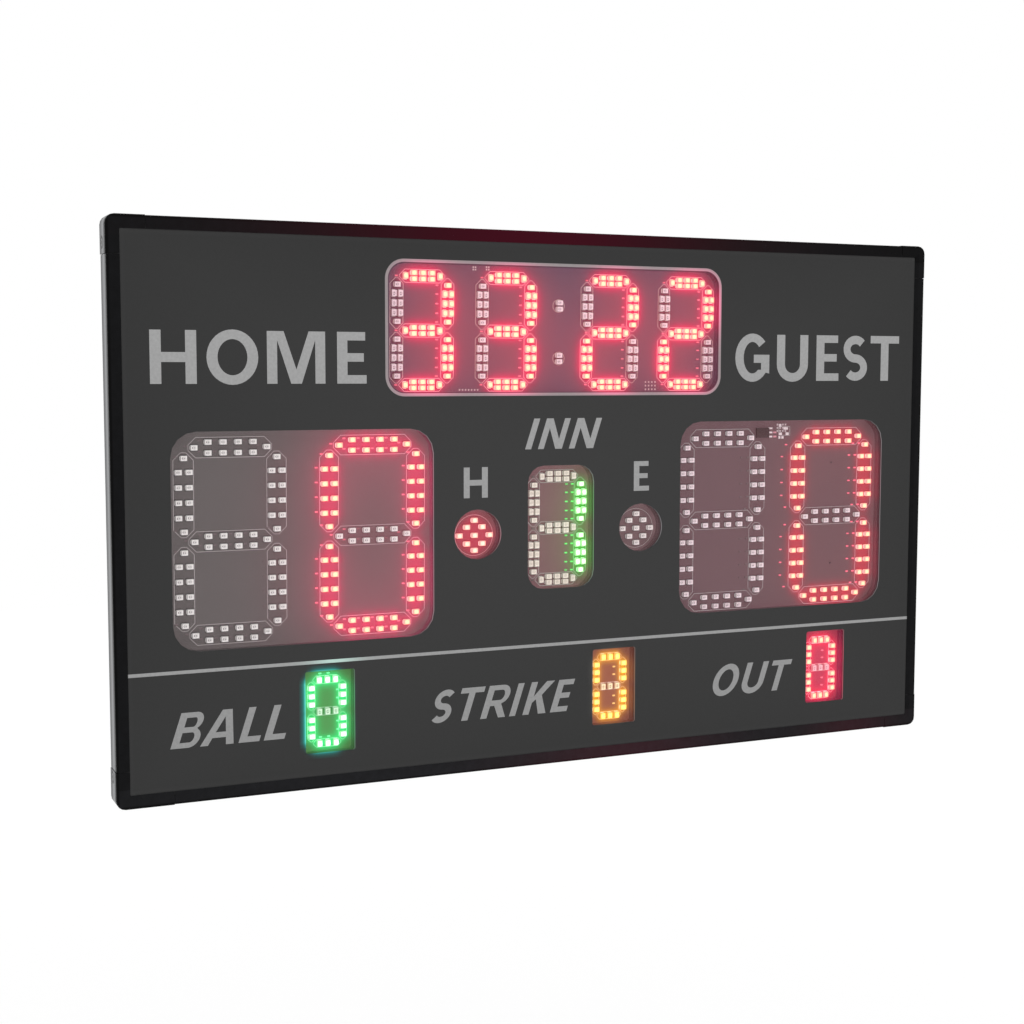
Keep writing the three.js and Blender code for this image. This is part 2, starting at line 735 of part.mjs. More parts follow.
function addBuzzer() {
  const [x, z] = ofBoard(buzzerShares);
  const back = pcbFront + buzzerLength;
  const buzzer = turnedAlongDepth([[0, pcbFront], [buzzerRadius, pcbFront], [buzzerRadius, back],
    [buzzerMouthRadius, back], [buzzerMouthRadius, back - buzzerMouthDepth], [0, back - buzzerMouthDepth]],
  buzzerSides, x, z);
  place('buzzer', buzzer, 'black_plastic');
}

function addPillars() {
  pillarShares.forEach((shares, i) => {
    const shape = new THREE.Shape(circlePoints(...ofBoard(shares), pillarRadius, pillarSides));
    place(`pillar_${i + 1}`, plateGeometry(shape, pcbFront, coverFront - seatGap), 'brass');
  });
}

// A keyhole: a round entry with a slot above it
function keyholePoints(x, z) {
  const half = keyholeSlotWidth / 2;
  const start = Math.asin(half / keyholeRadius);
  const points = [];
  for (let i = 0; i <= keyholeSides; i++) {
    const angle = Math.PI / 2 + start + i / keyholeSides * (2 * Math.PI - 2 * start);
    points.push(new THREE.Vector2(x + keyholeRadius * Math.cos(angle), z + keyholeRadius * Math.sin(angle)));
  }
  const slotZ = z + keyholeSlotLength;
  for (let i = 0; i <= keyholeSides / 2; i++) {
    const angle = i / (keyholeSides / 2) * Math.PI;
    points.push(new THREE.Vector2(x + half * Math.cos(angle), slotZ + half * Math.sin(angle)));
  }
  return points;
}

function soundHoles() {
  const [x, z] = ofBoard(buzzerShares);
  return Array.from({ length: soundHoleCount }, (_, i) => {
    const angle = 2 * Math.PI * i / soundHoleCount;
    return circlePoints(x + soundHoleRing * Math.cos(angle), z + soundHoleRing * Math.sin(angle),
      soundHoleRadius, soundHoleSides);
  });
}

function addRearCover() {
  const inset = railWall + seatGap;
  const cover = insetPlate(inset, cornerRadius - inset, cornerSteps);
  const [keyholeX, keyholeZ] = ofBoard(keyholeShares);
  cover.holes = [
    keyholePoints(-keyholeX, keyholeZ),
    keyholePoints(keyholeX, keyholeZ),
    ...soundHoles(),
  ].map((points) => new THREE.Path(points));
  place('rear_cover', plateGeometry(cover, coverFront, boardDepth), 'cover_black');
}

addFrame();
addFace();
displays.forEach(addDisplayBoard);
addCircuitBoards();
addBuzzer();
addPillars();
addSocket();
addSwitch();
addRearCover();

export default group;
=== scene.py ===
import math

import bpy
import numpy as np
from mathutils import Matrix, Vector
from mathutils.geometry import tessellate_polygon


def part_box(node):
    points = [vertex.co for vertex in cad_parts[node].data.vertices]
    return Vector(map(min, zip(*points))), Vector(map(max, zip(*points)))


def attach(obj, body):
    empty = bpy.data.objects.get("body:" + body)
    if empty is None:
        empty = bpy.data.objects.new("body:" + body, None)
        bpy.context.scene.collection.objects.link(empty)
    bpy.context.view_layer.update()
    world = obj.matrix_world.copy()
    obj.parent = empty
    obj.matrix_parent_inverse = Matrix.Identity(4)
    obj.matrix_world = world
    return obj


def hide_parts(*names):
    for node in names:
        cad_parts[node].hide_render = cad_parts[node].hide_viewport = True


# Looks for the wall-hung scoreboard. Lengths are in millimetres on the board unless a comment says
# metres: x to the right, z up, and depth back from the front of the bezel.
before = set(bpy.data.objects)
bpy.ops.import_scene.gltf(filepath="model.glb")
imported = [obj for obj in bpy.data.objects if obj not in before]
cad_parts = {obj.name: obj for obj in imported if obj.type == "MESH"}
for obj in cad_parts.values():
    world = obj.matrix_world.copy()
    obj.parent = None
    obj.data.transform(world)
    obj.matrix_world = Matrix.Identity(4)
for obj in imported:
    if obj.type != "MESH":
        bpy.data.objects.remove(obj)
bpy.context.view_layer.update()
MM = 0.001
BOARD_DEPTH = 15.0

# The face and its stack, as in the solids
MASK_FRONT = 0.95
PRINT_LIFT = 0.05
PRINT_AT = MASK_FRONT - PRINT_LIFT
WELL_FRONT = 4.15
WELL_BACK = 7.55
WELL_MARGIN = 0.5
FLANGE_DEPTH = 4.1
FLANGE_REACH = 3.5
RIM_WIDTH = 0.5
PCB_FRONT = 7.75
PCB_BACK = 9.35
PCB_MARGIN = 5.0
CHIP = (3.5, 2.8, 1.9)


def at(x, depth, z):
    return Vector((x, depth - BOARD_DEPTH, z)) * MM


# Materials
def srgb(r, g, b):
    """A display colour of 0 to 255 as scene light."""
    def channel(v):
        v /= 255
        return v / 12.92 if v <= 0.04045 else ((v + 0.055) / 1.055) ** 2.4
    return channel(r), channel(g), channel(b), 1.0


class Look:
    """A Principled material with room for a few pattern nodes."""

    def __init__(self, name, colour, rough=0.5, metal=0.0, shine=0.5, alpha=1.0):
        self.material = bpy.data.materials.new(name)
        self.material.use_nodes = True
        self.tree = self.material.node_tree
        self.shader = self.tree.nodes["Principled BSDF"]
        for name, value in (("Base Color", colour), ("Roughness", rough), ("Metallic", metal),
                            ("Specular IOR Level", shine), ("Alpha", alpha)):
            self.set(name, value)

    def set(self, name, value):
        self.shader.inputs[name].default_value = value

    def link(self, source, name):
        self.tree.links.new(source, self.shader.inputs[name])

    def paint(self, source):
        self.link(source, "Base Color")

    def fill(self, socket, value):
        if isinstance(value, bpy.types.NodeSocket):
            self.tree.links.new(value, socket)
        else:
            socket.default_value = value

    def new(self, kind, **settings):
        made = self.tree.nodes.new("ShaderNode" + kind)
        for name, value in settings.items():
            setattr(made, name, value)
        return made

    def node(self, kind, **inputs):
        made = self.new(kind)
        for name, value in inputs.items():
            self.fill(made.inputs[name.replace("_", " ")], value)
        return made

    def math(self, operation, a, b=0.0, c=0.0):
        made = self.new("Math", operation=operation)
        for socket, value in zip(made.inputs, (a, b, c)):
            self.fill(socket, value)
        return made.outputs[0]

    def distance(self, a, a0, b, b0):
        """How far a and b are from a0 and b0, as places on the surface."""
        a, b = self.math("SUBTRACT", a, a0), self.math("SUBTRACT", b, b0)
        return self.math("SQRT", self.math("MULTIPLY_ADD", a, a, self.math("MULTIPLY", b, b)))

    def ranged(self, value, start, end, low=0.0, high=1.0):
        """From low to high as the value goes from start to end."""
        made = self.node("MapRange", Value=value, From_Min=start, From_Max=end, To_Min=low, To_Max=high)
        return made.outputs[0]

    def where(self):
        return self.new("TexCoord").outputs["Object"]

    def place(self):
        """x, y and z of the surface in the board's own metres."""
        return self.node("SeparateXYZ", Vector=self.where()).outputs

    def noise(self, scale, detail=3.0, stretch=None):
        vector = self.where()
        if stretch:
            vector = self.node("Mapping", Vector=vector, Scale=stretch).outputs[0]
        return self.node("TexNoise", Vector=vector, Scale=scale, Detail=detail).outputs[0]

    def varied(self, noise, low, high):
        """From low to high over the part of its range that a noise mostly takes."""
        return self.ranged(noise, 0.3, 0.7, low, high)

    def ramp(self, factor, stops):
        """The colour that stops, each a position and a colour, give."""
        made = self.new("ValToRGB")
        elements = made.color_ramp.elements
        for element, (position, colour) in zip(elements, (stops[0], stops[-1])):
            element.position, element.color = position, colour
        for position, colour in stops[1:-1]:
            elements.new(position).color = colour
        self.fill(made.inputs[0], factor)
        return made.outputs[0]

    def between(self, factor, dark, light):
        return self.ramp(factor, ((0.0, dark), (1.0, light)))

    def scaled(self, colour, factor):
        made = self.new("VectorMath", operation="SCALE")
        self.fill(made.inputs[0], colour)
        self.fill(made.inputs["Scale"], factor)
        return made.outputs[0]

    def stored(self, layer):
        """A colour that the mesh stores at its points."""
        return self.new("VertexColor", layer_name=layer).outputs[0]

    def glows(self):
        """A plain glow that the renderer takes for no lamp."""
        self.set("Emission Strength", 1.0)
        self.material.cycles.emission_sampling = "NONE"

    def grain(self, scale, low, high, detail=3.0, stretch=None):
        """Roughness that varies a little over the surface."""
        self.link(self.varied(self.noise(scale, detail, stretch), low, high), "Roughness")

    def bump(self, height, distance, strength=0.5):
        made = self.node("Bump", Height=height, Distance=distance, Strength=strength)
        self.link(made.outputs[0], "Normal")


# Painted shade and reflection on the silver from front to back, standing in for the light that the hollow side
# of the profile shows
SILVER_PAINTED_SHADING = ((0.11, 40), (0.2, 72), (0.3, 120), (0.38, 156), (0.48, 155), (0.6, 132), (0.72, 114),
                 (0.86, 92), (1.0, 82))
# How the grain of the silver is drawn out, along the height of the board
DRAWN = (1, 1, 0.02)
# Screws in the left caps, in metres: heights, how far back, the drawn edge of the head and half its width, the
# socket, which is painted dark as the shade in its hollow, and where the left side begins
CAP_SCREWS, SCREW_BACK = (0.1365, -0.1345), -0.0058
SCREW_EDGE, SCREW_LINE, SCREW_SOCKET = 0.0027, 0.0007, 0.0010
LEFT_SIDE = 0.2495


def brushed_silver():
    """Anodised aluminium, drawn along its length, with painted shade and reflection from front to back, and
    small screws sunk in the left corners.
    """
    look = Look("anodised_silver", srgb(150, 151, 153), rough=0.36, metal=1.0)
    look.set("Specular Tint", (0.78, 0.78, 0.78, 1))
    x, y, z = look.place()
    back = look.math("MULTIPLY_ADD", y, 1 / (BOARD_DEPTH * MM), 1.0)
    # Painted shade and reflection: darkest at the front edge, lightest a little under halfway back, darker again
    # at the back
    painted_shading = look.ramp(back, [(position, srgb(v, v + 1, v + 3)) for position, v in SILVER_PAINTED_SHADING])
    streaks = look.noise(900, 4, DRAWN)
    shade = look.ranged(streaks, 0.25, 0.75, 0.93, 1.06)
    left = look.math("GREATER_THAN", look.math("MULTIPLY", x, -1.0), LEFT_SIDE)
    for height in CAP_SCREWS:
        apart = look.distance(z, height, y, SCREW_BACK)
        off_edge = look.math("ABSOLUTE", look.math("SUBTRACT", apart, SCREW_EDGE))
        drawn = look.math("MAXIMUM", look.math("LESS_THAN", off_edge, SCREW_LINE),
                          look.math("LESS_THAN", apart, SCREW_SOCKET))
        # A dark line round each head, and painted shade that darkens its socket
        dark = look.math("MULTIPLY", drawn, left)
        shade = look.math("MULTIPLY", shade, look.math("MULTIPLY_ADD", dark, -0.95, 1.0))
    look.paint(look.scaled(painted_shading, shade))
    look.grain(700, 0.3, 0.42, 4, DRAWN)
    look.bump(streaks, 0.00002, 0.3)
    return look.material


# Painted light and shade along the bezel: where across, how wide, top or bottom, how strong a painted red glow
# from the displays, and how much lighter or darker
BEZEL_PAINTED_LIGHT = ((-0.02, 0.105, 1, 1.0, -0.9), (0.25, 0.07, 1, 0.0, -0.6), (0.0, 0.3, -1, 0.0, 1.7),
               (0.04, 0.06, -1, 0.45, 0.0), (0.2, 0.03, -1, 0.4, 0.0))
# In metres: the height past which the bezel is its top or bottom strip, how much wider than high half
# the board is, and where the bezel begins and ends to darken towards its outer edge
STRIP_HEIGHT, WIDER, EDGE_START, EDGE_END = 0.14, 0.1, 0.2483, 0.2492


def gloss_black():
    """Black plastic bezel with a fine moulded grain, with a painted red glow from the displays and painted light
    and shade along its top and bottom.
    """
    look = Look("bezel_black", srgb(17, 17, 18), rough=0.3, shine=0.06)
    x, _, z = look.place()
    # red gathers the painted red glow, and shade gathers the painted light and shade
    red, shade = 0.0, 1.0
    for middle, width, edge, red_glow, painted_lift in BEZEL_PAINTED_LIGHT:
        across = look.math("DIVIDE", look.math("SUBTRACT", x, middle), width)
        bell = look.math("EXPONENT", look.math("MULTIPLY", look.math("MULTIPLY", across, across), -1.0))
        here = look.math("GREATER_THAN", look.math("MULTIPLY", z, float(edge)), STRIP_HEIGHT)
        tint = look.math("MULTIPLY", bell, here)
        red = look.math("MULTIPLY_ADD", tint, red_glow, red)
        shade = look.math("MULTIPLY_ADD", tint, painted_lift, shade)
    outward = look.math("MAXIMUM", look.math("ABSOLUTE", x),
                        look.math("ADD", look.math("ABSOLUTE", z), WIDER))
    shade = look.math("MULTIPLY", shade, look.ranged(outward, EDGE_START, EDGE_END, 1.0, 0.15))
    mottled = look.between(look.noise(260, 5), srgb(9, 9, 10), srgb(19, 19, 21))
    look.paint(look.scaled(mottled, shade))
    # The painted red glow, given off as emission
    look.link(look.between(red, (0, 0, 0, 1), (0.044, 0.0, 0.006, 1)), "Emission Color")
    look.set("Emission Strength", 1.0)
    look.grain(500, 0.26, 0.38, 4)
    look.bump(look.noise(2600, 2), 0.00001, 0.25)
    return look.material


def printed_grey():
    """Printed film: matt dark grey with a fine grain, darker away from the middle but for its rim."""
    look = Look("printed_film", srgb(58, 58, 58), rough=0.6, shine=0.12)
    x, _, z = look.place()
    out_x = look.math("MULTIPLY", look.math("ABSOLUTE", x), 1 / 0.25)
    out_z = look.math("MULTIPLY", look.math("ABSOLUTE", z), 1 / 0.15)
    out = look.math("MAXIMUM", look.math("POWER", out_x, 2.0), look.math("POWER", out_z, 2.0))
    grain = look.math("MULTIPLY_ADD", look.noise(1500, 3), 0.16, 0.75)
    level = look.math("MULTIPLY_ADD", out, -0.62, grain)
    for outward, start, end in ((out_x, 0.962, 0.978), (out_z, 0.935, 0.962)):
        level = look.math("MULTIPLY_ADD", look.ranged(outward, start, end), 0.5, level)
    look.paint(look.between(level, srgb(48, 48, 48), srgb(59, 59, 59)))
    look.grain(900, 0.52, 0.68)
    look.bump(look.noise(3000, 2), 0.00001, 0.3)
    return look.material


def print_ink(name, top, foot):
    """Printed grey, with painted shade from one tone high on the board to another at its foot."""
    light, dark = srgb(top, top, top), srgb(foot, foot, foot)
    look = Look(name, light, rough=0.5, shine=0.2)
    shade = look.between(look.ranged(look.place()[2], -0.12, 0.09), dark, light)
    look.paint(look.scaled(shade, look.varied(look.noise(700, 4), 0.93, 1.07)))
    look.bump(look.noise(2500, 2), 0.00001, 0.2)
    return look.material


def smoked_acrylic():
    look = Look("smoked_acrylic", (0.03, 0.03, 0.03, 1), rough=0.1, shine=0.3, alpha=0.12)
    look.grain(120, 0.07, 0.16)
    return look.material


def moulded_black(name, shade, rough):
    def grey(step):
        return srgb(shade + step, shade + step, shade + step + 1)
    look = Look(name, grey(0), rough=rough, shine=0.3)
    look.paint(look.between(look.noise(400, 5), grey(-5), grey(6)))
    look.grain(700, rough - 0.08, rough + 0.08)
    look.bump(look.noise(1800, 3), 0.00003, 0.4)
    return look.material


# Heads and sockets of the countersunk screws through the cover into the pillars, in metres, and how softly they
# end; the sockets are painted near black as the shade in their hollows
HEAD_RADIUS, HEAD_SOFT, SOCKET_RADIUS, SOCKET_SOFT = 0.0031, 0.0003, 0.0012, 0.0002


def powder_coat():
    """Textured powder coat on the sheet-metal cover, with a screw head over each pillar and painted shade in its
    socket.
    """
    look = Look("powder_coat", srgb(38, 38, 40), rough=0.55, shine=0.35)
    orange_peel = look.noise(1400, 4)
    coat = look.between(orange_peel, srgb(30, 30, 32), srgb(47, 47, 50))
    x, _, z = look.place()
    nearest = 1.0
    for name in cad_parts:
        if name.startswith("pillar"):
            low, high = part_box(name)
            apart = look.distance(z, (low.z + high.z) / 2, x, (low.x + high.x) / 2)
            nearest = look.math("MINIMUM", apart, nearest)
    head = look.ranged(nearest, HEAD_RADIUS, HEAD_RADIUS - HEAD_SOFT)
    # Painted shade: the socket of each head goes near black
    socket = look.ranged(nearest, SOCKET_RADIUS, SOCKET_RADIUS + SOCKET_SOFT, 0.05, 1.0)
    metal = look.between(look.noise(2200, 3), srgb(128, 130, 134), srgb(176, 178, 182))
    mixed = look.new("Mix", data_type="RGBA")
    ends = [s for s in mixed.inputs if s.type == "RGBA" or (s.name, s.type) == ("Factor", "VALUE")]
    for end, source in zip(ends, (head, coat, look.scaled(metal, socket))):
        look.fill(end, source)
    look.paint(next(s for s in mixed.outputs if s.type == "RGBA"))
    look.link(head, "Metallic")
    look.grain(900, 0.45, 0.65)
    look.bump(orange_peel, 0.00008, 0.6)
    return look.material


def green_circuit():
    """Solder resist over copper tracks."""
    look = Look("circuit_green", srgb(28, 84, 52), rough=0.35, shine=0.5)
    tracks = look.node("TexVoronoi", Vector=look.where(), Scale=420.0)
    tracks.feature = "DISTANCE_TO_EDGE"
    between_tracks = look.math("GREATER_THAN", tracks.outputs[0], 0.06)
    look.paint(look.between(between_tracks, srgb(44, 112, 66), srgb(24, 78, 47)))
    look.grain(600, 0.3, 0.45)
    return look.material


def brass():
    look = Look("brass", srgb(186, 150, 84), rough=0.3, metal=1.0)
    look.paint(look.between(look.noise(500, 4), srgb(166, 130, 70), srgb(204, 170, 104)))
    look.grain(800, 0.22, 0.4)
    return look.material


def lit_surface(name, rough, shine, grain_scale):
    """A surface whose own colour and whose share of the chips' light are stored on it."""
    look = Look(name, srgb(100, 96, 92), rough=rough, shine=shine)
    speckle = look.varied(look.noise(grain_scale, 4), 0.94, 1.06)
    look.paint(look.scaled(look.stored("own"), speckle))
    look.link(look.stored("spill"), "Emission Color")
    look.glows()
    look.grain(grain_scale, rough - 0.06, rough + 0.06)
    return look.material


def hazy(name):
    """A glow without a body, whose strength is stored as its own colour."""
    look = Look(name, (0, 0, 0, 1), rough=0.9, shine=0.0)
    look.link(look.stored("own"), "Alpha")
    look.link(look.stored("spill"), "Emission Color")
    look.glows()
    return look.material


# Each look of the solids, and how the names of the nodes that have it begin
for material, *starts in (
        (brushed_silver(), "rail", "corner_cap"), (gloss_black(), "bezel"), (printed_grey(), "panel_mask"),
        (smoked_acrylic(), "front_panel"), (moulded_black("baffle_black", 40, 0.6), "window_baffle"),
        (green_circuit(), "controller_board", "power_board", "radio_board"), (brass(), "pillar"),
        (moulded_black("moulded_plastic", 28, 0.5), "buzzer", "dc_socket", "switch"),
        (powder_coat(), "rear_cover")):
    for name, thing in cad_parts.items():
        if name.startswith(tuple(starts)):
            thing.data.materials.clear()
            thing.data.materials.append(material)


# Meshes
scene = bpy.context.scene


def put(name, data):
    thing = bpy.data.objects.new(name, data)
    scene.collection.objects.link(thing)
    return thing


def dim(colour, share):
    return tuple(share * c for c in colour)


class Mesh:
    """Points, faces and the two stored colours of a piece under construction."""

    # The share of its own colour that a lit surface gives off, for light from all round
    LIFT = 0.25

    def __init__(self, *materials):
        self.points, self.faces, self.slots, self.own, self.spill = [], [], [], [], []
        self.materials = materials

    def add(self, points, faces, slot=0, own=(0.5, 0.5, 0.5), spill=(0, 0, 0)):
        start = len(self.points)
        self.points += [at(*p) for p in points]
        self.faces += [[start + i for i in face] for face in faces]
        self.slots += [slot] * len(faces)
        for kept, given in ((self.own, own), (self.spill, spill)):
            kept += given if isinstance(given, list) else [given] * len(points)

    def box(self, low, high, slot, *colours):
        (x0, y0, z0), (x1, y1, z1) = low, high
        points = [(x, y, z) for x in (x0, x1) for y in (y0, y1) for z in (z0, z1)]
        faces = [(0, 1, 3, 2), (4, 6, 7, 5), (0, 4, 5, 1), (2, 3, 7, 6), (0, 2, 6, 4), (1, 5, 7, 3)]
        self.add(points, faces, slot, *colours)

    def piece(self, name, replaces=(), body="board"):
        mesh = bpy.data.meshes.new(name)
        mesh.from_pydata(self.points, [], self.faces)
        for material in self.materials:
            mesh.materials.append(material)
        mesh.polygons.foreach_set("material_index", self.slots)
        if any(m.name.startswith("lit") for m in self.materials):
            for layer, colours in (("own", self.own), ("spill", self.spill)):
                stored = mesh.color_attributes.new(layer, "FLOAT_COLOR", "POINT")
                flat = np.ones((len(self.points), 4), np.float32)
                flat[:, :3] = np.array(colours, np.float32)
                if layer == "spill":
                    flat[:, :3] += self.LIFT * np.array(self.own, np.float32)
                stored.data.foreach_set("color", flat.ravel())
        thing = put(name, mesh)
        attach(thing, body)
        if replaces:
            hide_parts(*replaces)


def rounded(x, z, width, height, radius, steps):
    """Corner points of a rounded rectangle, counter-clockwise seen from the front."""
    points = []
    for quarter, (sx, sz) in enumerate(((1, 1), (-1, 1), (-1, -1), (1, -1))):
        cx, cz = x + sx * (width / 2 - radius), z + sz * (height / 2 - radius)
        for i in range(steps + 1):
            turn = (quarter + i / steps) * math.pi / 2
            points.append((cx + radius * math.cos(turn), cz + radius * math.sin(turn)))
    return points


def circle(x, z, radius, steps):
    return [(x + radius * math.cos(a), z + radius * math.sin(a))
            for a in np.linspace(0, 2 * math.pi, steps, endpoint=False)]


def fine(points, longest, like=None):
    """The closed outline with extra points, as many as one of the same corners that it is like."""
    like, made = like or points, []
    for i, (x0, z0) in enumerate(points):
        after = (i + 1) % len(points)
        x1, z1 = points[after]
        count = max(1, math.ceil(math.dist(like[i], like[after]) / longest))
        made += [(x0 + (x1 - x0) * j / count, z0 + (z1 - z0) * j / count) for j in range(count)]
    return made


def flat(mesh, outlines, depth, *colours):
    """Fills outlines, the first of them the rim and the others holes, at one depth."""
    points = [(x, depth, z) for outline in outlines for x, z in outline]
    loops = [[Vector((x, z, 0)) for x, z in outline] for outline in outlines]
    mesh.add(points, [list(t)[::-1] for t in tessellate_polygon(loops)], 0, *colours)


def bands(count, rows):
    """Faces between rows of points that go round in matching loops."""
    return [(r * count + i, r * count + (i + 1) % count, (r + 1) * count + (i + 1) % count, (r + 1) * count + i)
            for r in range(rows - 1) for i in range(count)]


def banded(mesh, rows, *colours):
    """Bands between matching loops, each given with its depth."""
    points = [(x, depth, z) for depth, loop in rows for x, z in loop]
    mesh.add(points, bands(len(rows[0][1]), len(rows)), 0, *colours)


# Displays, by the sizes of the solids: chips are x, z and whether they stand upright
def flat_segment(z, reach, spacing, columns, pitch, end):
    chips = []
    for i in range(columns):
        x = (i - (columns - 1) / 2) * pitch * reach
        chips += [(x, z + spacing / 2, False), (x, z - spacing / 2, False)]
    return chips + [(-end * reach, z, True), (end * reach, z, True)]


def upright_segment(x, z, reach, spacing, *style):
    return [(x + cz, z + cx, not up) for cx, cz, up in flat_segment(0, reach, spacing, *style)]


def digit(half_width, half_height, flat_spacing, upright_spacing, *style):
    """Segments in the order top, middle, bottom, left upper, left lower, right upper, right lower."""
    segments = [flat_segment(z, half_width, flat_spacing, *style) for z in (half_height, 0, -half_height)]
    for x in (-half_width, half_width):
        for z in (half_height / 2, -half_height / 2):
            segments.append(upright_segment(x, z, half_height / 2, upright_spacing, *style))
    return segments


BIG_HALF = (24.6, 48.7)
MID_HALF = (14.75, 29.35)
SMALL_HALF = (8.8, 17.3)
BIG_STEP, MID_STEP, CLOCK_STEP = 78.0, 50.0, 114.6
BIG = [[(x, z, False) for x, z, _ in segment] for segment in digit(*BIG_HALF, 5.6, 5.6, 4, 0.3228, 0.7804)]
MID = digit(*MID_HALF, 3.3, 3.75, 3, 0.3535, 0.6763)
# Three chips to each segment of a small digit, upright in the flat ones and flat in the upright ones
STEPS = [i * 0.516 for i in (-1, 0, 1)]
SMALL = [[(step * SMALL_HALF[0], z, True) for step in STEPS] for z in (SMALL_HALF[1], 0, -SMALL_HALF[1])]
SMALL += [[(x, z + step * SMALL_HALF[1] / 2, False) for step in STEPS]
          for x in (-SMALL_HALF[0], SMALL_HALF[0]) for z in (SMALL_HALF[1] / 2, -SMALL_HALF[1] / 2)]
LAMP = [[(x, z, False)] for x, z in ((0, 0), (9.1, 0), (-9.1, 0), (0, 8.4), (0, -8.4), (4.65, 4.65),
                                     (4.65, -4.65), (-4.65, 4.65), (-4.65, -4.65))]
COLON_HALF = 14.7
COLON = [(0, side * COLON_HALF + row * 1.75, False) for side in (-1, 1) for row in (-1, 1)]
# Segments that each figure lights, in the order that digit() gives
FIGURES = {" ": (), "0": (0, 2, 3, 4, 5, 6), "1": (5, 6), "2": (0, 1, 2, 4, 5), "3": (0, 1, 2, 5, 6)}
# Each style: half a digit's size, the width of the silk print, how bright the wall of the well is and
# how much blue it takes on, and half the print round a flat and an upright segment with its corners' cut
STYLES = {
    "big": (BIG_HALF, 0.29, (1.25, 0.05), (22.2, 5.4, 4.0), (5.4, 22.0, 4.0)),
    "mid": (MID_HALF, 0.33, (0.7, 0.04), (13.35, 3.7, 3.2), (3.9, 13.85, 3.2)),
    "small": (SMALL_HALF, 0.29, (0.6, 0.04), (7.9, 2.3, 1.9), (2.3, 7.8, 1.9)),
    "dot": (None, 0.25, (0.55, 0.04), None, None),
}

RED, ROSE, GREEN, MINT, AMBER, DARK = "red", "rose", "green", "mint", "amber", "dark"
# Light of a lit chip: its face, the edge of its face, its sides, a part beside it that it lights,
# and how much its light washes out each other channel
CHIP_LIGHT = {
    RED: ((2.6, 1.0, 0.56), (1.3, 0.32, 0.22), (0.95, 0.30, 0.30), (1.5, 0.14, 0.26), (0, 0.45, 0.15)),
    ROSE: ((2.1, 0.95, 0.74), (1.1, 0.34, 0.30), (0.85, 0.30, 0.30), (1.5, 0.14, 0.26), (0, 0.45, 0.15)),
    GREEN: ((1.5, 3.2, 1.5), (0.30, 1.35, 0.38), (0.16, 0.9, 0.28), (0.05, 1.3, 0.14), (0.6, 0, 0.6)),
    MINT: ((1.8, 3.8, 2.5), (0.40, 1.5, 0.75), (0.16, 0.9, 0.34), (0.15, 1.5, 0.5), (0.6, 0, 0.35)),
    AMBER: ((2.6, 1.9, 0.22), (1.5, 0.95, 0.02), (0.95, 0.46, 0.02), (1.4, 0.75, 0.15), (0, 0.1, 1)),
    DARK: ((0, 0, 0),) * 5,
}
# Each board: colour of its light, style and corner radius of its window; how far its chips sit from its
# middle, to the right and up, and how far they lean; its own colour, that of its unlit chips, and the
# light that each lit chip adds to the board close by and further off
BOARDS = {
    "clock": (RED, "mid", 9.2, (1.4, -0.8, 0.011),
        (0.103, 0.10, 0.15), (0.95, 0.76, 0.82), (0.52, 0, 0.03), (0.042, 0, 0)),
    "home_score": (RED, "big", 13.4, (0.03, -0.6, 0.006),
        (0.157, 0.134, 0.134), (0.90, 0.85, 0.84), (0.52, 0, 0.03), (0.044, 0, 0.006)),
    "guest_score": (RED, "big", 13.4, (0.12, -2.45, 0.002),
        (0.205, 0.111, 0.126), (0.97, 0.80, 0.84), (0.44, 0, 0), (0.008, 0, 0)),
    # The inning board's reddish own colour holds painted light from the red displays beside it
    "inning": (GREEN, "mid", 9.5, (0.6, -1.0, 0.006),
        (0.27, 0.125, 0.148), (1.0, 0.89, 0.80), (0, 0.22, 0), (0, 0.018, 0)),
    "hit": (ROSE, "dot", None, (0.6, -1.05, 0),
        (0.11, 0.115, 0.13), (0.86, 0.72, 0.78), (0.22, 0, 0.01), (0.062, 0, 0)),
    "error": (DARK, "dot", None, (0.45, -0.9, 0),
        (0.24, 0.14, 0.15), (1.0, 0.89, 0.88), (0, 0, 0), (0, 0, 0)),
    "ball": (MINT, "small", 0.8, (0.4, -1.2, 0),
        (0.10, 0.06, 0.04), (0.80, 0.86, 0.76), (0, 0.68, 0.18), (0.002, 0.062, 0.012)),
    "strike": (AMBER, "small", 0.8, (0.65, -1.15, 0),
        (0.10, 0.05, 0.06), (1.0, 0.88, 0.62), (0.80, 0.34, 0), (0.06, 0.016, 0.004)),
    "out": (RED, "small", 0.8, (0.9, -2.0, 0),
        (0.04, 0.02, 0.04), (0.84, 0.66, 0.70), (0.5, 0, 0.01), (0.13, 0.008, 0.017)),
}
# No board is as bright as the chips themselves
MOST_SPILL = 1.15
# How far the light of a chip reaches close by and from afar
CLOSE_REACH = {MINT: 3.4, AMBER: 3.0}
FAR_REACH = 12

RESIST = lit_surface("lit_resist", 0.5, 0.25, 500)
PACKAGE = lit_surface("lit_package", 0.45, 0.3, 1500)
SILK = lit_surface("lit_silk", 0.6, 0.2, 900)
PAD = lit_surface("lit_pad", 0.3, 0.6, 1500)
WELL = lit_surface("lit_well", 0.6, 0.2, 700)
HAZE = hazy("lit_haze")


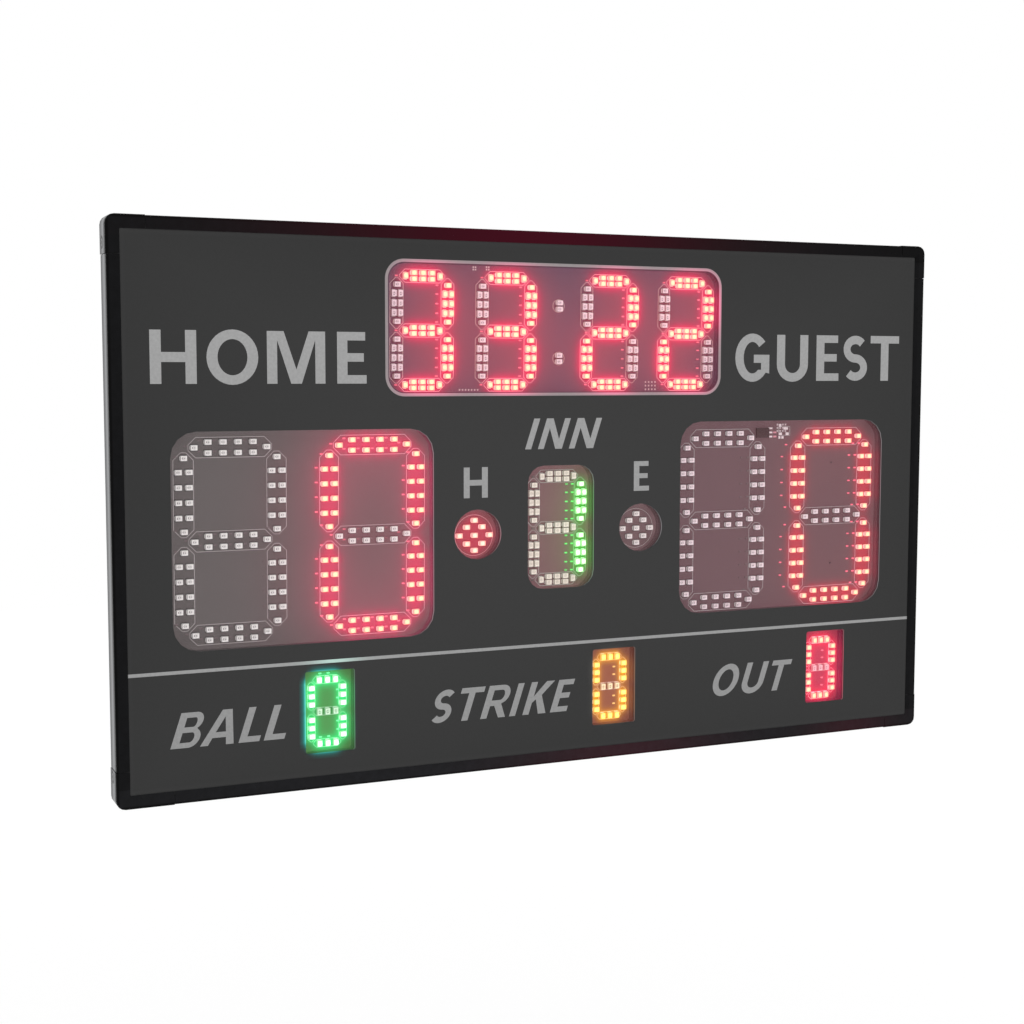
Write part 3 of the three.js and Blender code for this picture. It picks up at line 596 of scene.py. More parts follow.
class Display:
    def __init__(self, name, digits):
        low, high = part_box(name + "_board")
        self.name, (self.colour, self.style, self.radius, shift, *light) = name, BOARDS[name]
        self.own, self.package, self.close, self.far = light
        self.digit_half, self.silk, self.well, self.lying, self.standing = STYLES[self.style]
        right, up, self.lean = shift
        self.middle = ((low.x + high.x) / 2 / MM, (low.z + high.z) / 2 / MM)
        self.x, self.z = self.middle[0] + right, self.middle[1] + up
        self.half = ((high.x - low.x) / 2 / MM, (high.z - low.z) / 2 / MM)
        self.window = tuple(half - PCB_MARGIN for half in self.half)
        # Each chip as x, z, upright and lit
        self.chips = [(*self.leaning(self.x + dx + x, self.z + z), up, i in lit)
                      for dx, segments, lit in digits
                      for i, segment in enumerate(segments) for x, z, up in segment]
        self.digits = [(self.x + dx, segments) for dx, segments, _ in digits if len(segments) == len(MID)]
        self.glowing = np.array([(x, z) for x, z, _, lit in self.chips if lit]).reshape(-1, 2)

    def leaning(self, x, z):
        return x + self.lean * (z - self.z), z

    def apart(self, points):
        """How far each point is from each lit chip."""
        return np.linalg.norm(np.array(points)[:, None] - self.glowing[None], axis=2)

    def light(self, points):
        """How much of the chips' light reaches points on the board, close by and from afar."""
        apart = self.apart(points)
        close = (apart / CLOSE_REACH.get(self.colour, 4.0)) ** 2
        return np.exp(-close).sum(1)[:, None], np.exp(-apart / FAR_REACH).sum(1)[:, None]

    def edge(self, points):
        """From 1 at the edge of the window to 0 well inside it."""
        points = np.array(points)
        inside = np.minimum(self.window[0] - abs(points[:, 0] - self.middle[0]),
                            self.window[1] - abs(points[:, 1] - self.middle[1]))
        return np.exp(-np.maximum(inside, 0) / 4)[:, None]

    def colours(self, points, own, gain=1.0):
        """Own colours and spilled light at points, as two lists."""
        close, far = self.light(points)
        washed = 1 - np.array(CHIP_LIGHT[self.colour][-1]) * (1 - np.exp(-close))
        own = np.array(own) * washed
        spill = gain * (close * np.array(self.close) + far * np.array(self.far))
        spill = np.minimum(spill, MOST_SPILL) + 0.3 * own * self.edge(points)
        return list(map(tuple, own)), list(map(tuple, spill))


# How fine the front of a board is, of a small one and of one with this half width or more
GRID, WIDE_BOARD = (0.9, 1.3), 30


def add_board(mesh, display):
    """The circuit board: a fine front sheet that can hold light, and plain sides and back."""
    step = GRID[display.half[0] > WIDE_BOARD]
    xs, zs = (np.linspace(middle - half, middle + half, math.ceil(2 * half / step) + 1)
              for middle, half in zip(display.middle, display.half))
    places = [(x, z) for z in zs for x in xs]
    own, spill = display.colours(places, display.own)
    row = len(xs)
    faces = [(i, i + 1, i + row + 1, i + row) for i in range(row * (len(zs) - 1)) if (i + 1) % row]
    mesh.add([(x, PCB_FRONT, z) for x, z in places], faces, 0, own, spill)
    points = [(x, y, z) for x in (xs[0], xs[-1]) for y in (PCB_FRONT, PCB_BACK) for z in (zs[0], zs[-1])]
    mesh.add(points, [(0, 1, 3, 2), (4, 6, 7, 5), (0, 2, 6, 4), (1, 5, 7, 3), (2, 3, 7, 6)], 0, display.own)


CIRCLE = [(math.cos((i + 0.5) * math.pi / 6), math.sin((i + 0.5) * math.pi / 6)) for i in range(12)]


def perimeter(half_u, half_v):
    """Twelve points round a rectangle that face the twelve of a circle."""
    points = []
    for u, v in CIRCLE:
        scale = min(half_u / abs(u), half_v / abs(v))
        points.append((u * scale, v * scale))
    for i, (su, sv) in {1: (1, 1), 4: (-1, 1), 7: (-1, -1), 10: (1, -1)}.items():
        points[i] = (su * half_u, sv * half_v)
    return points


# A chip: its bevel, the radius of its well at rim and floor and how deep it and the lens lie, how far
# its shadow reaches, and its pads
BEVEL, WELL_RIM, WELL_FLOOR, WELL_DEPTH, LENS_DEPTH = 0.12, 1.16, 0.98, 0.35, 0.28
SHADOW = (0.55, 0.5)
PAD_OUT, PAD_HALF, PAD_HEIGHT, PAD_OWN = 0.28, 0.95, 0.45, (0.78, 0.74, 0.73)
# How much of the board's light the crown of an unlit chip adds to its own
UNLIT_LIFT = {AMBER: 0.34, MINT: 0.24}
# The die and the mark of an unlit chip: two corners and a tone
MARKS = (((-0.98, -0.55), (-0.64, 0.55), 0.12), ((0.1, -0.22), (0.5, 0.22), 0.22))


def add_chip(mesh, display, x, z, upright, lit):
    """One light-emitting chip: a white body with a round well, its lens or die, and two pads."""
    long, wide, tall = CHIP
    top = PCB_FRONT - tall

    def turn(u, v):
        return (x - v, z + u) if upright else (x + u, z + v)

    def layer(pairs, depth):
        return [(turn(u, v)[0], depth, turn(u, v)[1]) for u, v in pairs]

    face, edge, side, _, _ = CHIP_LIGHT[display.colour]
    around = display.colours([(x, z)], display.own, gain=0.6)[1][0]
    if lit:
        own, side_light = (0.5, 0.3, 0.25), side
        middle = tuple(0.35 * e + 0.65 * f for e, f in zip(edge, face))
        crown_light = [edge] * 12 + [middle] * 12 + [face] * 12
    else:
        own, side_light = display.package, around
        crown_light = tuple(a + UNLIT_LIFT.get(display.colour, 0.14) * c for a, c in zip(around, own))
    # A dark edge on the board, where the body shades it
    rim = perimeter(long / 2, wide / 2)
    shade = perimeter(long / 2 + SHADOW[0], wide / 2 + SHADOW[1])
    shaded = layer(shade, PCB_FRONT - 0.012) + layer(rim, PCB_FRONT - 0.016)
    hem_own, hem_spill = display.colours([(p[0], p[2]) for p in shaded], dim(display.own, 0.62), gain=0.8)
    mesh.add(shaded, bands(12, 2), 0, hem_own, hem_spill)
    # The body, down from its upper rim, with the well sunk in it; an unlit chip's sides get painted shade,
    # darker than its crown
    bevel = perimeter(long / 2 - BEVEL, wide / 2 - BEVEL)
    well, floor = ([(u * radius, v * radius) for u, v in CIRCLE] for radius in (WELL_RIM, WELL_FLOOR))
    walls = layer(rim, PCB_FRONT) + layer(rim, top + BEVEL) + layer(bevel, top)
    mesh.add(walls, bands(12, 3), 1, own if lit else dim(own, 0.6), side_light)
    crown = layer(bevel, top) + layer(well, top) + layer(floor, top + WELL_DEPTH)
    mesh.add(crown, bands(12, 3), 1, own, crown_light)
    if lit:
        lens = layer(floor, top + WELL_DEPTH) + layer([(0, 0)], top + LENS_DEPTH)
        mesh.add(lens, [(i, (i + 1) % 12, 12) for i in range(12)], 1, own, face)
    else:
        # Painted shade: the floor of an unlit chip's well is a little darker than its crown
        mesh.add(layer(floor, top + WELL_DEPTH), [tuple(range(12))], 1, dim(own, 0.85), around)
        for low, high, tone in () if display.name == "inning" else MARKS:
            mark = layer([low, (high[0], low[1]), high, (low[0], high[1])], top + WELL_DEPTH - 0.02)
            mesh.add(mark, [(0, 1, 2, 3)], 1, dim(own, tone), dim(around, 0.5))
    for end in (-1, 1):
        u0, u1 = sorted((end * long / 2, end * (long / 2 + PAD_OUT)))
        (xa, za), (xb, zb) = turn(u0, -PAD_HALF), turn(u1, PAD_HALF)
        mesh.box((min(xa, xb), PCB_FRONT - PAD_HEIGHT, min(za, zb)), (max(xa, xb), PCB_FRONT, max(za, zb)), 3,
                 PAD_OWN, dim(side_light, 0.8))


RESISTOR_GLOW = {"guest_score": 1.5}
SILK_OWN = (0.54, 0.48, 0.485)
# How high silk print, marks and bare pads lie on the board
PRINT_HEIGHT, PAD_PRINT = 0.03, 0.04


def add_outline(mesh, display, points, width):
    """A white line of silk print on the board."""
    outer, inner = fine(points, 2.5), []
    for i, (x, z) in enumerate(outer):
        (x0, z0), (x1, z1) = outer[i - 1], outer[(i + 1) % len(outer)]
        dx, dz = x1 - x0, z1 - z0
        size = math.hypot(dx, dz)
        inner.append((x - dz / size * width, z + dx / size * width))
    places = inner + outer
    own, spill = display.colours(places, SILK_OWN, gain=1.12)
    # Painted glow: the silk near lit chips gives off extra white light
    silk_glow = 0.13 * np.minimum(display.light(places)[0], 2.0)
    spill = [tuple(c + float(w[0]) for c in colour) for colour, w in zip(spill, silk_glow)]
    count = len(outer)
    faces = [(i, count + i, count + (i + 1) % count, (i + 1) % count) for i in range(count)]
    mesh.add([(x, PCB_FRONT - PRINT_HEIGHT, z) for x, z in places], faces, 2, own, spill)


def add_part(mesh, x, z, half_u, half_v, height, *colours):
    """A small block that stands on the board."""
    mesh.box((x - half_u, PCB_FRONT - height, z - half_v), (x + half_u, PCB_FRONT, z + half_v), 3, *colours)


def add_resistor(mesh, display, x, z, half_u=0.75, half_v=0.38, own=(0.20, 0.14, 0.15)):
    """A small resistor, which catches the light of the chips beside it."""
    near = float(np.exp(-display.apart([(x, z)]) / 5).sum())
    glow = min(RESISTOR_GLOW.get(display.name, 0.9) * near, 1.0)
    add_part(mesh, x, z, half_u, half_v, 0.5, own, dim(CHIP_LIGHT[display.colour][3], glow))


def window_loop(display, out):
    """The window's outline moved out by a distance, with matching points whatever the distance."""
    def corners(by):
        half_x, half_z = (half + by for half in display.window)
        if display.radius is None:
            return circle(*display.middle, half_x, 48)
        return rounded(*display.middle, 2 * half_x, 2 * half_z, display.radius + by,
                       1 if display.style == "small" else 4)
    return fine(corners(out), 2, corners(0.0))


RIM_OWN = (0.14, 0.13, 0.135)
# The glow on the film: its colour and how strong it is at the window's edge
HAZES = {"ball": ((0.0, 0.82, 0.70), 0.95), "strike": ((0.6, 0.55, 0.5), 0.10)}
# How it fades away from the window, and how far it stands off its chips, to the left and up, by their
# depth behind the film
HAZE_FADE = ((0.0, 1.0), (0.4, 0.6), (0.9, 0.3), (1.8, 0.12), (3.6, 0.0))
HAZE_SHIFT = (2.9, -1.4)


def add_well(display):
    """The lit wall of a window from the face back to the board, with a flange round its front."""
    wall = WELL_MARGIN - (0.28 if display.style == "dot" else 0.08)
    levels = ((FLANGE_REACH, FLANGE_DEPTH), (wall, FLANGE_DEPTH), (wall, (WELL_FRONT + WELL_BACK) / 2),
              (wall, WELL_BACK - 0.02))
    gain, tint = display.well
    rows, own, spill = [], [], []
    for out, depth in levels:
        rows.append((depth, window_loop(display, out)))
        own_here, spill_here = display.colours(rows[-1][1], dim(display.own, 0.55), gain=gain)
        own += own_here
        spill += [(r, g, b + tint * max(r, g)) for r, g, b in spill_here]
    mesh = Mesh(WELL)
    banded(mesh, rows, own, spill)
    mesh.piece(display.name + "_well")


def add_rim(display):
    """The cut edge of the printed film at the right of a window, which catches the light of the board."""
    inner = window_loop(display, 0.0)
    outer = []
    for x, z in inner:
        towards = min(max(2 * (x - display.middle[0]) / display.window[0] - 1, 0.0), 1.0)
        outer.append((x + RIM_WIDTH * towards, z + 0.02 * np.sign(z - display.middle[1])))
    tone = dim(RIM_OWN, 0.5 if display.style == "small" else 1.0)
    own, spill = display.colours(inner + outer, tone, gain=0.5)
    mesh = Mesh(WELL)
    banded(mesh, [(PRINT_AT, loop) for loop in (inner, outer)], own, spill)
    mesh.piece(display.name + "_rim")


def add_haze(display, colour, strength):
    """The glow that the brightest chips leave on the film round their window."""
    edge = window_loop(display, 0.0)
    shares = np.clip(3 * display.light(np.array(edge) + HAZE_SHIFT)[0][:, 0], 0, 1)
    rows = [(MASK_FRONT - PRINT_LIFT / 2, window_loop(display, out)) for out, _ in HAZE_FADE]
    strengths = [(strength * fade * share,) * 3 for _, fade in HAZE_FADE for share in shares]
    mesh = Mesh(HAZE)
    banded(mesh, rows, strengths, colour)
    mesh.piece(display.name + "_haze")


def outlines_of(display):
    """The printed outlines: one round each segment, or a circle round a lamp."""
    if display.style == "dot":
        yield circle(display.x, display.z, 11.5, 40)
    for x, _ in display.digits:
        half_w, half_h = display.digit_half
        places = [(x, z, display.lying) for z in (half_h, 0, -half_h)]
        places += [(x + sx * half_w, sz * half_h / 2, display.standing) for sx in (-1, 1) for sz in (-1, 1)]
        for px, pz, (reach_x, reach_z, cut) in places:
            yield rounded(px, display.z + pz, 2 * reach_x, 2 * reach_z, cut, 1)


# How far beside a small digit's middle its dots stand, and how much higher than the red ones
SMALL_DOTS = {MINT: (6.0, 0.8), AMBER: (3.0, 0.6), RED: (1.9, 0.0)}


def resistor_places(display):
    """Places of the small resistors, a little to the left of the chips that they feed."""
    guest = display.name == "guest_score"
    for x, segments in display.digits:
        if display.style == "big":
            for i, segment in enumerate(segments):
                for cx, cz, _ in segment:
                    if i < 3 and not guest or cx <= segment[-1][0] + 0.1 and i >= 3:
                        yield x + cx - (8.6 if guest else 4.4), display.z + cz + 0.8
                        if guest and i > 4:
                            yield x + cx - 4.2, display.z + cz + 0.8
        if display.style == "mid":
            for i in range(3):
                yield x - 15.0, display.z + (1 - i) * MID_HALF[1]
            for segment in segments[5:]:
                for cz in sorted({round(cz, 3) for _, cz, _ in segment}):
                    for left in (5.1, 8.8) if display.colour == GREEN else (6.3,):
                        yield x + MID_HALF[0] - left, display.z + cz
        if display.style == "small":
            right, raised = SMALL_DOTS[display.colour]
            for dz in (10.5, 6.0, -6.6, -11.2):
                yield x + right, display.z + dz + raised
            for z in (SMALL_HALF[1], -SMALL_HALF[1]) if display.colour == MINT else ():
                for dx in (-3.8, 0.8):
                    yield x + dx, display.z + z + 3.4


def add_pads(mesh, display, x, z, columns, rows, pitch, size=0.45):
    """A small block of bare test pads."""
    own = (0.62, 0.5, 0.52)
    for cx, cz in [(x + i * pitch, z + j * pitch) for i in range(columns) for j in range(rows)]:
        points = [(cx + sx * size, PCB_FRONT - PAD_PRINT, cz + sz * size)
                  for sx, sz in ((-1, -1), (1, -1), (1, 1), (-1, 1))]
        mesh.add(points, [(0, 1, 2, 3)], 3, own, display.colours([(cx, cz)], own, gain=0.6)[1][0])


# Small parts beside the driver chip: how far right and up of its end, and half their width
DRIVER_PARTS = ((8.3, 4.3, 0.7), (12.3, 2.4, 1.4), (8.6, -0.8, 0.9), (13.4, -0.8, 0.9), (7.9, -3.0, 0.5),
                (10.1, -3.0, 0.6))


def add_driver(mesh, display):
    """The guest board's driver chip at the top, with its legs, and a few small parts beside it."""
    x, z = display.x - 6.9, display.z + 51.6
    mesh.box((x - 8.8, PCB_FRONT - 1.3, z - 2.9), (x, PCB_FRONT, z + 2.9), 1, (0.10, 0.045, 0.05))
    metal = (0.92, 0.8, 0.82), (0.1, 0.06, 0.07)
    for row in (-2.4, 0.1, 2.6):
        add_part(mesh, x + 1.45, z + row, 1.25, 0.5, 0.5, *metal)
        if row < 2:
            add_resistor(mesh, display, x + 4.6, z + row, 1.0, 0.5, (0.7, 0.35, 0.4))
    for right, up, half in DRIVER_PARTS:
        add_part(mesh, x + right, z + up, half, 0.75, 0.6, *metal)
    add_pads(mesh, display, x + 6.6, z + 0.9, 4, 3, 1.9, 0.55)
    corners = ((15.6, -1.9), (15.6, 3.6), (7.4, 3.6), (7.4, -1.9))
    add_outline(mesh, display, [(x + right, z + up) for right, up in corners], 0.3)


# Blocks of test pads on the clock's board: x, z, columns, rows and pitch
CLOCK_PADS = ((-50.3, 128.4, 2, 2, 1.3), (-42.4, 128.6, 2, 2, 1.3), (-58.6, 62.6, 7, 1, 1.8),
              (57.8, 62.6, 4, 3, 2.1))
# Via holes on the guest's board
VIAS = ((188.4, 17.4), (188.8, -44.8))


def build_display(display):
    mesh = Mesh(RESIST, PACKAGE, SILK, PAD)
    add_board(mesh, display)
    for chip in display.chips:
        add_chip(mesh, display, *chip)
    for outline in outlines_of(display):
        add_outline(mesh, display, [display.leaning(*p) for p in outline], display.silk)
    for x, z in resistor_places(display):
        add_resistor(mesh, display, *display.leaning(x, z))
    if display.name == "clock":
        for side in (-1, 1):
            add_outline(mesh, display, circle(display.x, display.z + side * COLON_HALF, 3.75, 24), 0.35)
        for block in CLOCK_PADS:
            add_pads(mesh, display, *block)
    if display.name == "guest_score":
        add_driver(mesh, display)
        for x, z in VIAS:
            flat(mesh, [circle(x, z, 0.55, 10)], PCB_FRONT - PRINT_HEIGHT, (0.02, 0.012, 0.012))
    add_well(display)
    if display.name != "clock":
        add_rim(display)
    if display.name in HAZES:
        add_haze(display, *HAZES[display.name])
    mesh.piece(display.name + "_board_chips", (display.name + "_board",))


def figures(places, segments, text):
    """Digits side by side, each with the segments that its figure lights."""
    return [(dx, segments, set(FIGURES[figure])) for dx, figure in zip(places, text)]


HALF_STEPS = (CLOCK_STEP + MID_STEP) / 2, (CLOCK_STEP - MID_STEP) / 2
CLOCK_X = [-HALF_STEPS[0], -HALF_STEPS[1], HALF_STEPS[1], HALF_STEPS[0]]
PAIR_X = [-BIG_STEP / 2, BIG_STEP / 2]
digits_of = {
    "clock": figures(CLOCK_X, MID, "3322") + [(0, [[c] for c in COLON], set())],
    "home_score": figures(PAIR_X, BIG, " 0"), "guest_score": figures(PAIR_X, BIG, " 0"),
    "inning": figures([0], MID, "1"), "hit": [(0, LAMP, set(range(len(LAMP))))], "error": [(0, LAMP, set())],
    "ball": figures([0], SMALL, "0"), "strike": figures([0], SMALL, "0"), "out": figures([0], SMALL, "0"),
}
displays = {name: Display(name, digits) for name, digits in digits_of.items()}
for display in displays.values():
    build_display(display)
clock = displays["clock"]


# Letters of the printed legends, drawn in a box one cap high
STEM, BAR = 0.21, 0.165


def arc(cx, cz, rx, rz, start, end, steps=14):
    turns = [math.radians(start + (end - start) * i / steps) for i in range(steps + 1)]
    return [(cx + rx * math.cos(t), cz + rz * math.sin(t)) for t in turns]


def ribbon(line, thickness):
    """A band of even thickness along a line, as one outline."""
    left, right = [], []
    for i, (x, z) in enumerate(line):
        x0, z0 = line[max(i - 1, 0)]
        x1, z1 = line[min(i + 1, len(line) - 1)]
        size = math.hypot(x1 - x0, z1 - z0)
        nx, nz = -(z1 - z0) / size * thickness / 2, (x1 - x0) / size * thickness / 2
        left.append((x + nx, z + nz))
        right.append((x - nx, z - nz))
    return left + right[::-1]


def letter_s(w):
    thick = 0.185
    rx, mid = (w - STEM) / 2, 0.495
    upper, lower = (1 - thick / 2 - mid) / 2, (mid - thick / 2) / 2
    line = arc(w / 2, mid + upper, rx, upper, 38, 262, 18) + arc(w / 2, mid - lower, rx, lower, 82, -142, 18)
    return [ribbon(line, thick)]


def letter_g(w):
    outer = arc(w / 2, 0.5, w / 2, 0.52, 42, 322, 24)
    inner = arc(w / 2, 0.5, w / 2 - STEM, 0.52 - 0.18, 322, 42, 24)
    spur = [(w, 0.16), (w, 0.565), (w * 0.54, 0.565), (w * 0.54, 0.39), (w - STEM, 0.39), (w - STEM, 0.24)]
    return [outer + spur + inner[1:]]


def letter_r(w):
    bowl = w * 0.93 - 0.29
    outer = [(0, 0), (STEM, 0), (STEM, 0.37), (w * 0.42, 0.37), (w - STEM * 1.12, 0), (w, 0), (w * 0.68, 0.425)]
    outer += arc(bowl, 0.71, 0.29, 0.29, -52, 90, 12) + [(0, 1)]
    hole = [(STEM, 0.54), (STEM, 0.85)] + arc(bowl, 0.695, 0.115, 0.155, 90, -90, 10)
    return [outer, hole]


def letter_b(w):
    low, high = w - 0.275, w - 0.29
    outer = [(0, 0)] + arc(low, 0.275, 0.275, 0.275, -90, 58, 12)
    outer += arc(high, 0.755, 0.235, 0.245, -58, 90, 12) + [(0, 1)]
    lower = [(STEM, 0.15), (STEM, 0.43)] + arc(low, 0.29, 0.1, 0.14, 90, -90, 10)
    upper = [(STEM, 0.585), (STEM, 0.85)] + arc(high, 0.7175, 0.07, 0.1325, 90, -90, 10)
    return [outer, lower, upper]


def letter_a(w):
    c, foot = w / 2, STEM * 1.06

    def inside(z):
        return foot + (c - foot) * z / 0.84
    outer = [(0, 0), (foot, 0), (inside(0.21), 0.21), (w - inside(0.21), 0.21), (w - foot, 0), (w, 0),
             (c + 0.14, 1), (c - 0.14, 1)]
    hole = [(inside(0.37), 0.37), (c, 0.80), (w - inside(0.37), 0.37)]
    return [outer, hole]


def letter(name, w):
    """Outlines of a letter in a box one high and w wide, the first its rim and the others holes."""
    s, b = STEM, BAR
    if name in ROUND_LETTERS:
        return ROUND_LETTERS[name](w)
    return {
        "I": [[(0, 0), (w, 0), (w, 1), (0, 1)]],
        "H": [[(0, 0), (s, 0), (s, 0.405), (w - s, 0.405), (w - s, 0), (w, 0), (w, 1), (w - s, 1), (w - s, 0.59),
            (s, 0.59), (s, 1), (0, 1)]],
        "O": [arc(w / 2, 0.5, w / 2, 0.52, 0, 350, 35), arc(w / 2, 0.5, w / 2 - s, 0.34, 0, 350, 35)],
        "M": [[(0, 0), (0.2, 0), (0.2, 0.83), (w / 2 - 0.105, 0), (w / 2 + 0.105, 0), (w - 0.2, 0.83),
            (w - 0.2, 0), (w, 0), (w, 1), (w - 0.33, 1), (w / 2, 0.27), (0.33, 1), (0, 1)]],
        "E": [[(0, 0), (w, 0), (w, b), (s, b), (s, 0.425), (w - 0.055, 0.425), (w - 0.055, 0.59), (s, 0.59),
            (s, 1 - b), (w - 0.025, 1 - b), (w - 0.025, 1), (0, 1)]],
        "L": [[(0, 0), (w, 0), (w, b), (s, b), (s, 1), (0, 1)]],
        "T": [[(w / 2 - s / 2, 0), (w / 2 + s / 2, 0), (w / 2 + s / 2, 1 - b), (w, 1 - b), (w, 1), (0, 1),
            (0, 1 - b), (w / 2 - s / 2, 1 - b)]],
        "N": [[(0, 0), (s, 0), (s, 0.68), (w - s * 1.15, 0), (w, 0), (w, 1), (w - s, 1), (w - s, 0.32),
            (s * 1.15, 1), (0, 1)]],
        "U": [[(0, 1)] + arc(w / 2, 0.36, w / 2, 0.38, 180, 360) + [(w, 1), (w - s, 1)]
            + arc(w / 2, 0.36, w / 2 - s, 0.19, 0, -180) + [(s, 1)]],
        "K": [[(0, 0), (s, 0), (s, 0.35), (0.31, 0.46), (w - s * 1.25, 0), (w, 0), (w * 0.6, 0.58), (w, 1),
            (w - s * 1.3, 1), (s, 0.55), (s, 1), (0, 1)]],
    }[name]


ROUND_LETTERS = {"S": letter_s, "G": letter_g, "R": letter_r, "B": letter_b, "A": letter_a}
# Each word: baseline, cap height, slant, and its letters with their left edge and width
SLANT = 0.33
WORDS = {
    "home": (66.2, 27.2, 0, [("H", -229.3, 23.7), ("O", -200.5, 27.0), ("M", -168.9, 31.4), ("E", -131, 16.3)]),
    "guest": (67.4, 27.4, 0, [("G", 114.2, 23.7), ("U", 143.2, 22.2), ("E", 171.4, 16.3), ("S", 190.8, 18.3),
                             ("T", 211.1, 21.4)]),
    "inn": (29.5, 17.1, SLANT, [("I", -22, 3.7), ("N", -14.15, 14.9), ("N", 5.1, 15.4)]),
    "h": (3.3, 16.9, 0, [("H", -59, 14.4)]),
    "e": (4.3, 17.1, 0, [("E", 46.9, 10.0)]),
    "ball": (-121.1, 18.4, SLANT, [("B", -222.4, 13.9), ("A", -207, 17.7), ("L", -186.7, 11.1),
                                   ("L", -173.2, 11.2)]),
    "strike": (-120.6, 18.3, SLANT, [("S", -80.6, 12.2), ("T", -66, 14.1), ("R", -49.4, 15.2), ("I", -31.7, 3.7),
                                     ("K", -23.5, 14.5), ("E", -6.3, 10.5)]),
    "out": (-120.1, 18.4, SLANT, [("O", 98.9, 17.3), ("U", 119.7, 15.2), ("T", 137.9, 13.7)]),
}
# Legend ink, with painted shade that makes it darker towards the foot of the board
legend_ink = print_ink("legend_ink", 159, 145)
for word, (base, cap, slant, letters) in WORDS.items():
    mesh = Mesh(legend_ink)
    for name, left, width in letters:
        flat(mesh, [[(left + (x + slant * z) * cap, base + z * cap) for x, z in outline]
                    for outline in letter(name, width / cap)], PRINT_AT)
    mesh.piece("legend_" + word)

# Thin black strips behind the joints of the bezel, dark pieces that stand in for the shade in the joints, set
# back from its face and outer edge: which side of the board each is on and where along it, and their section as
# how far out and how deep
STRIP_HALF = 0.11
JOINTS = [("side", side, z) for side in (-1, 1) for z in (-130.65, 130.65)]
JOINTS += [("flat", 1, x) for x in (-230.25, 232.85)] + [("flat", -1, x) for x in (-220.55, 226.85)]
STRIP = ((-6.6, 0.4), (-1.0, 0.4), (-1.0, 3.7), (-3.1, 3.7), (-3.1, 0.85), (-6.6, 0.85))
mesh = Mesh(moulded_black("joint_black", 8, 0.6))
for way, side, place in JOINTS:
    points = []
    for step in (-STRIP_HALF, STRIP_HALF):
        for outward, depth in STRIP:
            out = side * ((250 if way == "side" else 150) + outward)
            points.append((out, depth, place + step) if way == "side" else (place + step, depth, out))
    mesh.add(points, bands(len(STRIP), 2) + [(0, 1, 4, 5), (1, 2, 3, 4), (6, 11, 10, 7), (7, 10, 9, 8)])
mesh.piece("bezel_joint_shadow_strips")

# The rule across the face, and the line round the clock, which glows where the digits are near
RULE_LOW, RULE_HIGH, RULE_HALF = -82.4, -80.6, 243.6
# Rule ink, with painted shade that makes it darker towards the foot of the board
mesh = Mesh(print_ink("rule_ink", 160, 150))
flat(mesh, [[(-RULE_HALF, RULE_LOW), (RULE_HALF, RULE_LOW), (RULE_HALF, RULE_HIGH), (-RULE_HALF, RULE_HIGH)]],
     PRINT_AT)
mesh.piece("printed_rule")

# The stretch of the rule above the ball count, which takes on its light, strongest over the middle
GLOW_START, GLOW_END, GLOW_MIDDLE, GLOW_REACH, GLOW_POINTS = -175.0, -97.0, -134, 13, 40
along = np.linspace(GLOW_START, GLOW_END, GLOW_POINTS)
bell = [math.exp(-((x - GLOW_MIDDLE) / GLOW_REACH) ** 2) for x in along] * 2
mesh = Mesh(lit_surface("lit_rule", 0.5, 0.2, 700))
mesh.add([(x, PRINT_AT - 0.01, z) for z in (RULE_LOW, RULE_HIGH) for x in along],
         [(i, i + 1, i + GLOW_POINTS + 1, i + GLOW_POINTS) for i in range(GLOW_POINTS - 1)],
         0, (0.262, 0.262, 0.262), [(0.16 * b, 0.34 * b, 0.28 * b) for b in bell])
mesh.piece("lit_rule")

# The line round the clock: middle, size and corner radius of its inner edge, and its width
LINE, LINE_WIDTH = (0.07, 95.95, 205.05, 70.0, 9.2), 1.65
# How it catches the light across its width
LINE_LIGHT = ((0.0, 0.31), (0.5, 0.25), (1.0, 0.12))
EDGE_IN = 0.55


def line_loop(out):
    """The line's inner edge moved out by a distance, with matching points whatever the distance."""
    def corners(by):
        x, z, width, height, radius = LINE
        return rounded(x, z, width + 2 * by, height + 2 * by, radius + by, 12)
    return fine(corners(out), 2.667, corners(0.0))


rows, spill = [], []
for share, light in LINE_LIGHT:
    loop = line_loop(LINE_WIDTH * share)
    rows.append((PRINT_AT, loop))
    near = np.exp(-clock.apart(loop) / 5).sum(1)
    spill += [(light * v, 0.0, 0.22 * light * v) for v in near]
mesh = Mesh(lit_surface("lit_line", 0.5, 0.2, 700))
banded(mesh, rows, (0.225, 0.215, 0.215), spill)
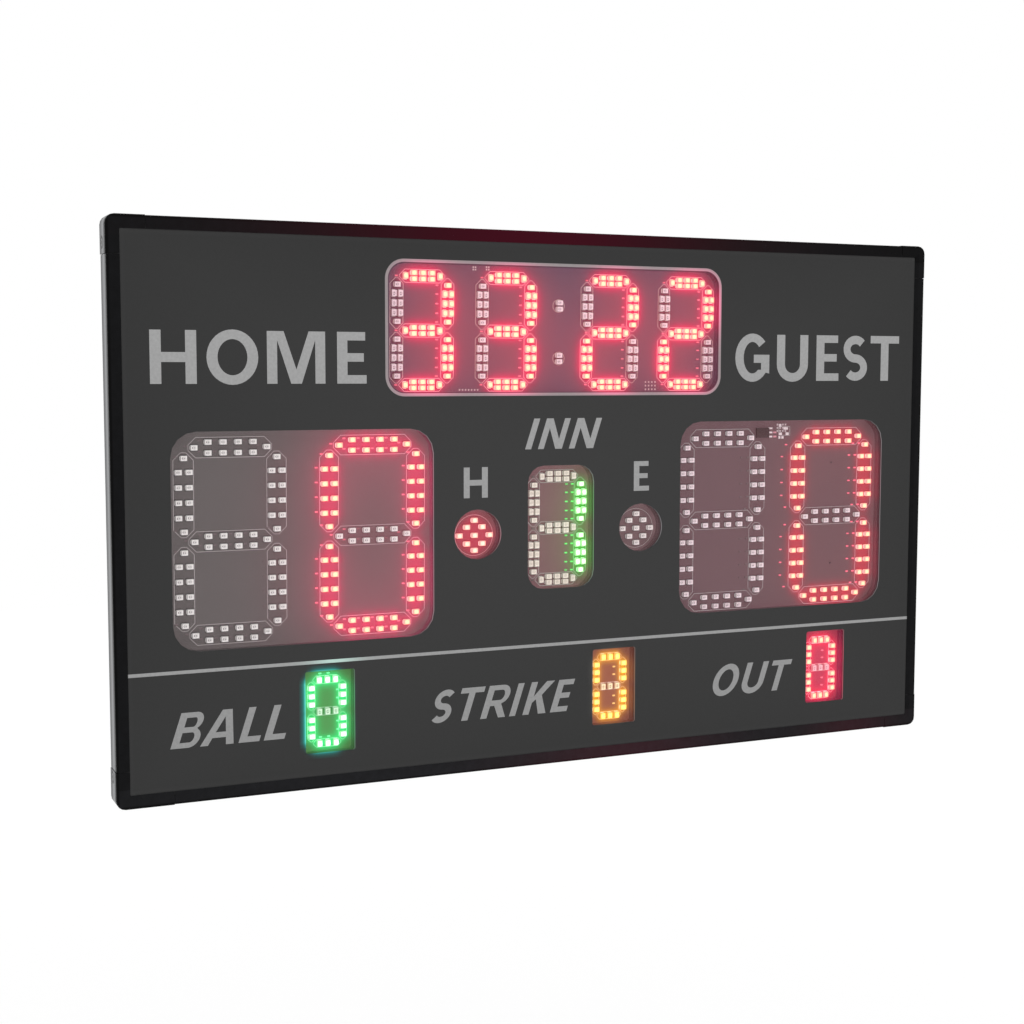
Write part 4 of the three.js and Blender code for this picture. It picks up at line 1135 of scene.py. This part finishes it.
# The cut edge of the film inside the line
loops = [line_loop(-EDGE_IN), line_loop(0.0)]
own, spill = clock.colours(loops[0] + loops[1], dim(clock.own, 0.35), gain=0.45)
banded(mesh, [(MASK_FRONT - PRINT_LIFT / 2, loop) for loop in loops], own, spill)
mesh.piece("clock_outline")


# Surroundings: a white studio with a pale floor well below the board
FLOOR_DEPTH, FLOOR_HALF = -0.62, 4
world = bpy.data.worlds.new("studio")
scene.world = world
world.use_nodes = True
world.node_tree.nodes["Background"].inputs["Color"].default_value = (1, 1, 1, 1)
world.node_tree.nodes["Background"].inputs["Strength"].default_value = 1.0
floor_look = Look("studio_floor", (0.93, 0.93, 0.93, 1), rough=0.9, shine=0.0)
floor_look.set("Emission Color", (1, 1, 1, 1))
floor_look.set("Emission Strength", 0.08)
floor_mesh = bpy.data.meshes.new("studio_floor")
floor_mesh.from_pydata([(sx * FLOOR_HALF, sy * FLOOR_HALF, FLOOR_DEPTH)
                        for sx, sy in ((-1, -1), (1, -1), (1, 1), (-1, 1))], [], [(0, 1, 2, 3)])
floor_mesh.materials.append(floor_look.material)
floor = put("studio_floor", floor_mesh)

# The camera, placed by the photograph's perspective
YAW, PITCH, ROLL = 0.4226, -0.0862, 0.0010
forward = Vector((math.sin(YAW) * math.cos(PITCH), math.cos(YAW) * math.cos(PITCH), math.sin(PITCH)))
camera_data = bpy.data.cameras.new("camera")
camera_data.sensor_width = 36
camera_data.lens = 56.25
camera = put("camera", camera_data)
camera.location = (-0.39404, -0.82372, 0.07149)
camera.rotation_mode = "QUATERNION"
camera.rotation_quaternion = forward.to_track_quat("-Z", "Y") @ Matrix.Rotation(ROLL, 4, "Z").to_quaternion()
scene.camera = camera
scene.view_settings.view_transform = "Standard"

# A lens glow round the lit chips alone, which are the only things brighter than white
GLOW = {"Threshold": 1.4, "Strength": 0.05, "Size": 0.4}
scene.use_nodes = True
steps = scene.node_tree
steps.nodes.clear()
layers, glare, out = (steps.nodes.new("CompositorNode" + kind) for kind in ("RLayers", "Glare", "Composite"))
glare.glare_type = "BLOOM"
glare.quality = "HIGH"
for name, value in GLOW.items():
    glare.inputs[name].default_value = value
steps.links.new(layers.outputs["Image"], glare.inputs["Image"])
steps.links.new(glare.outputs["Image"], out.inputs["Image"])
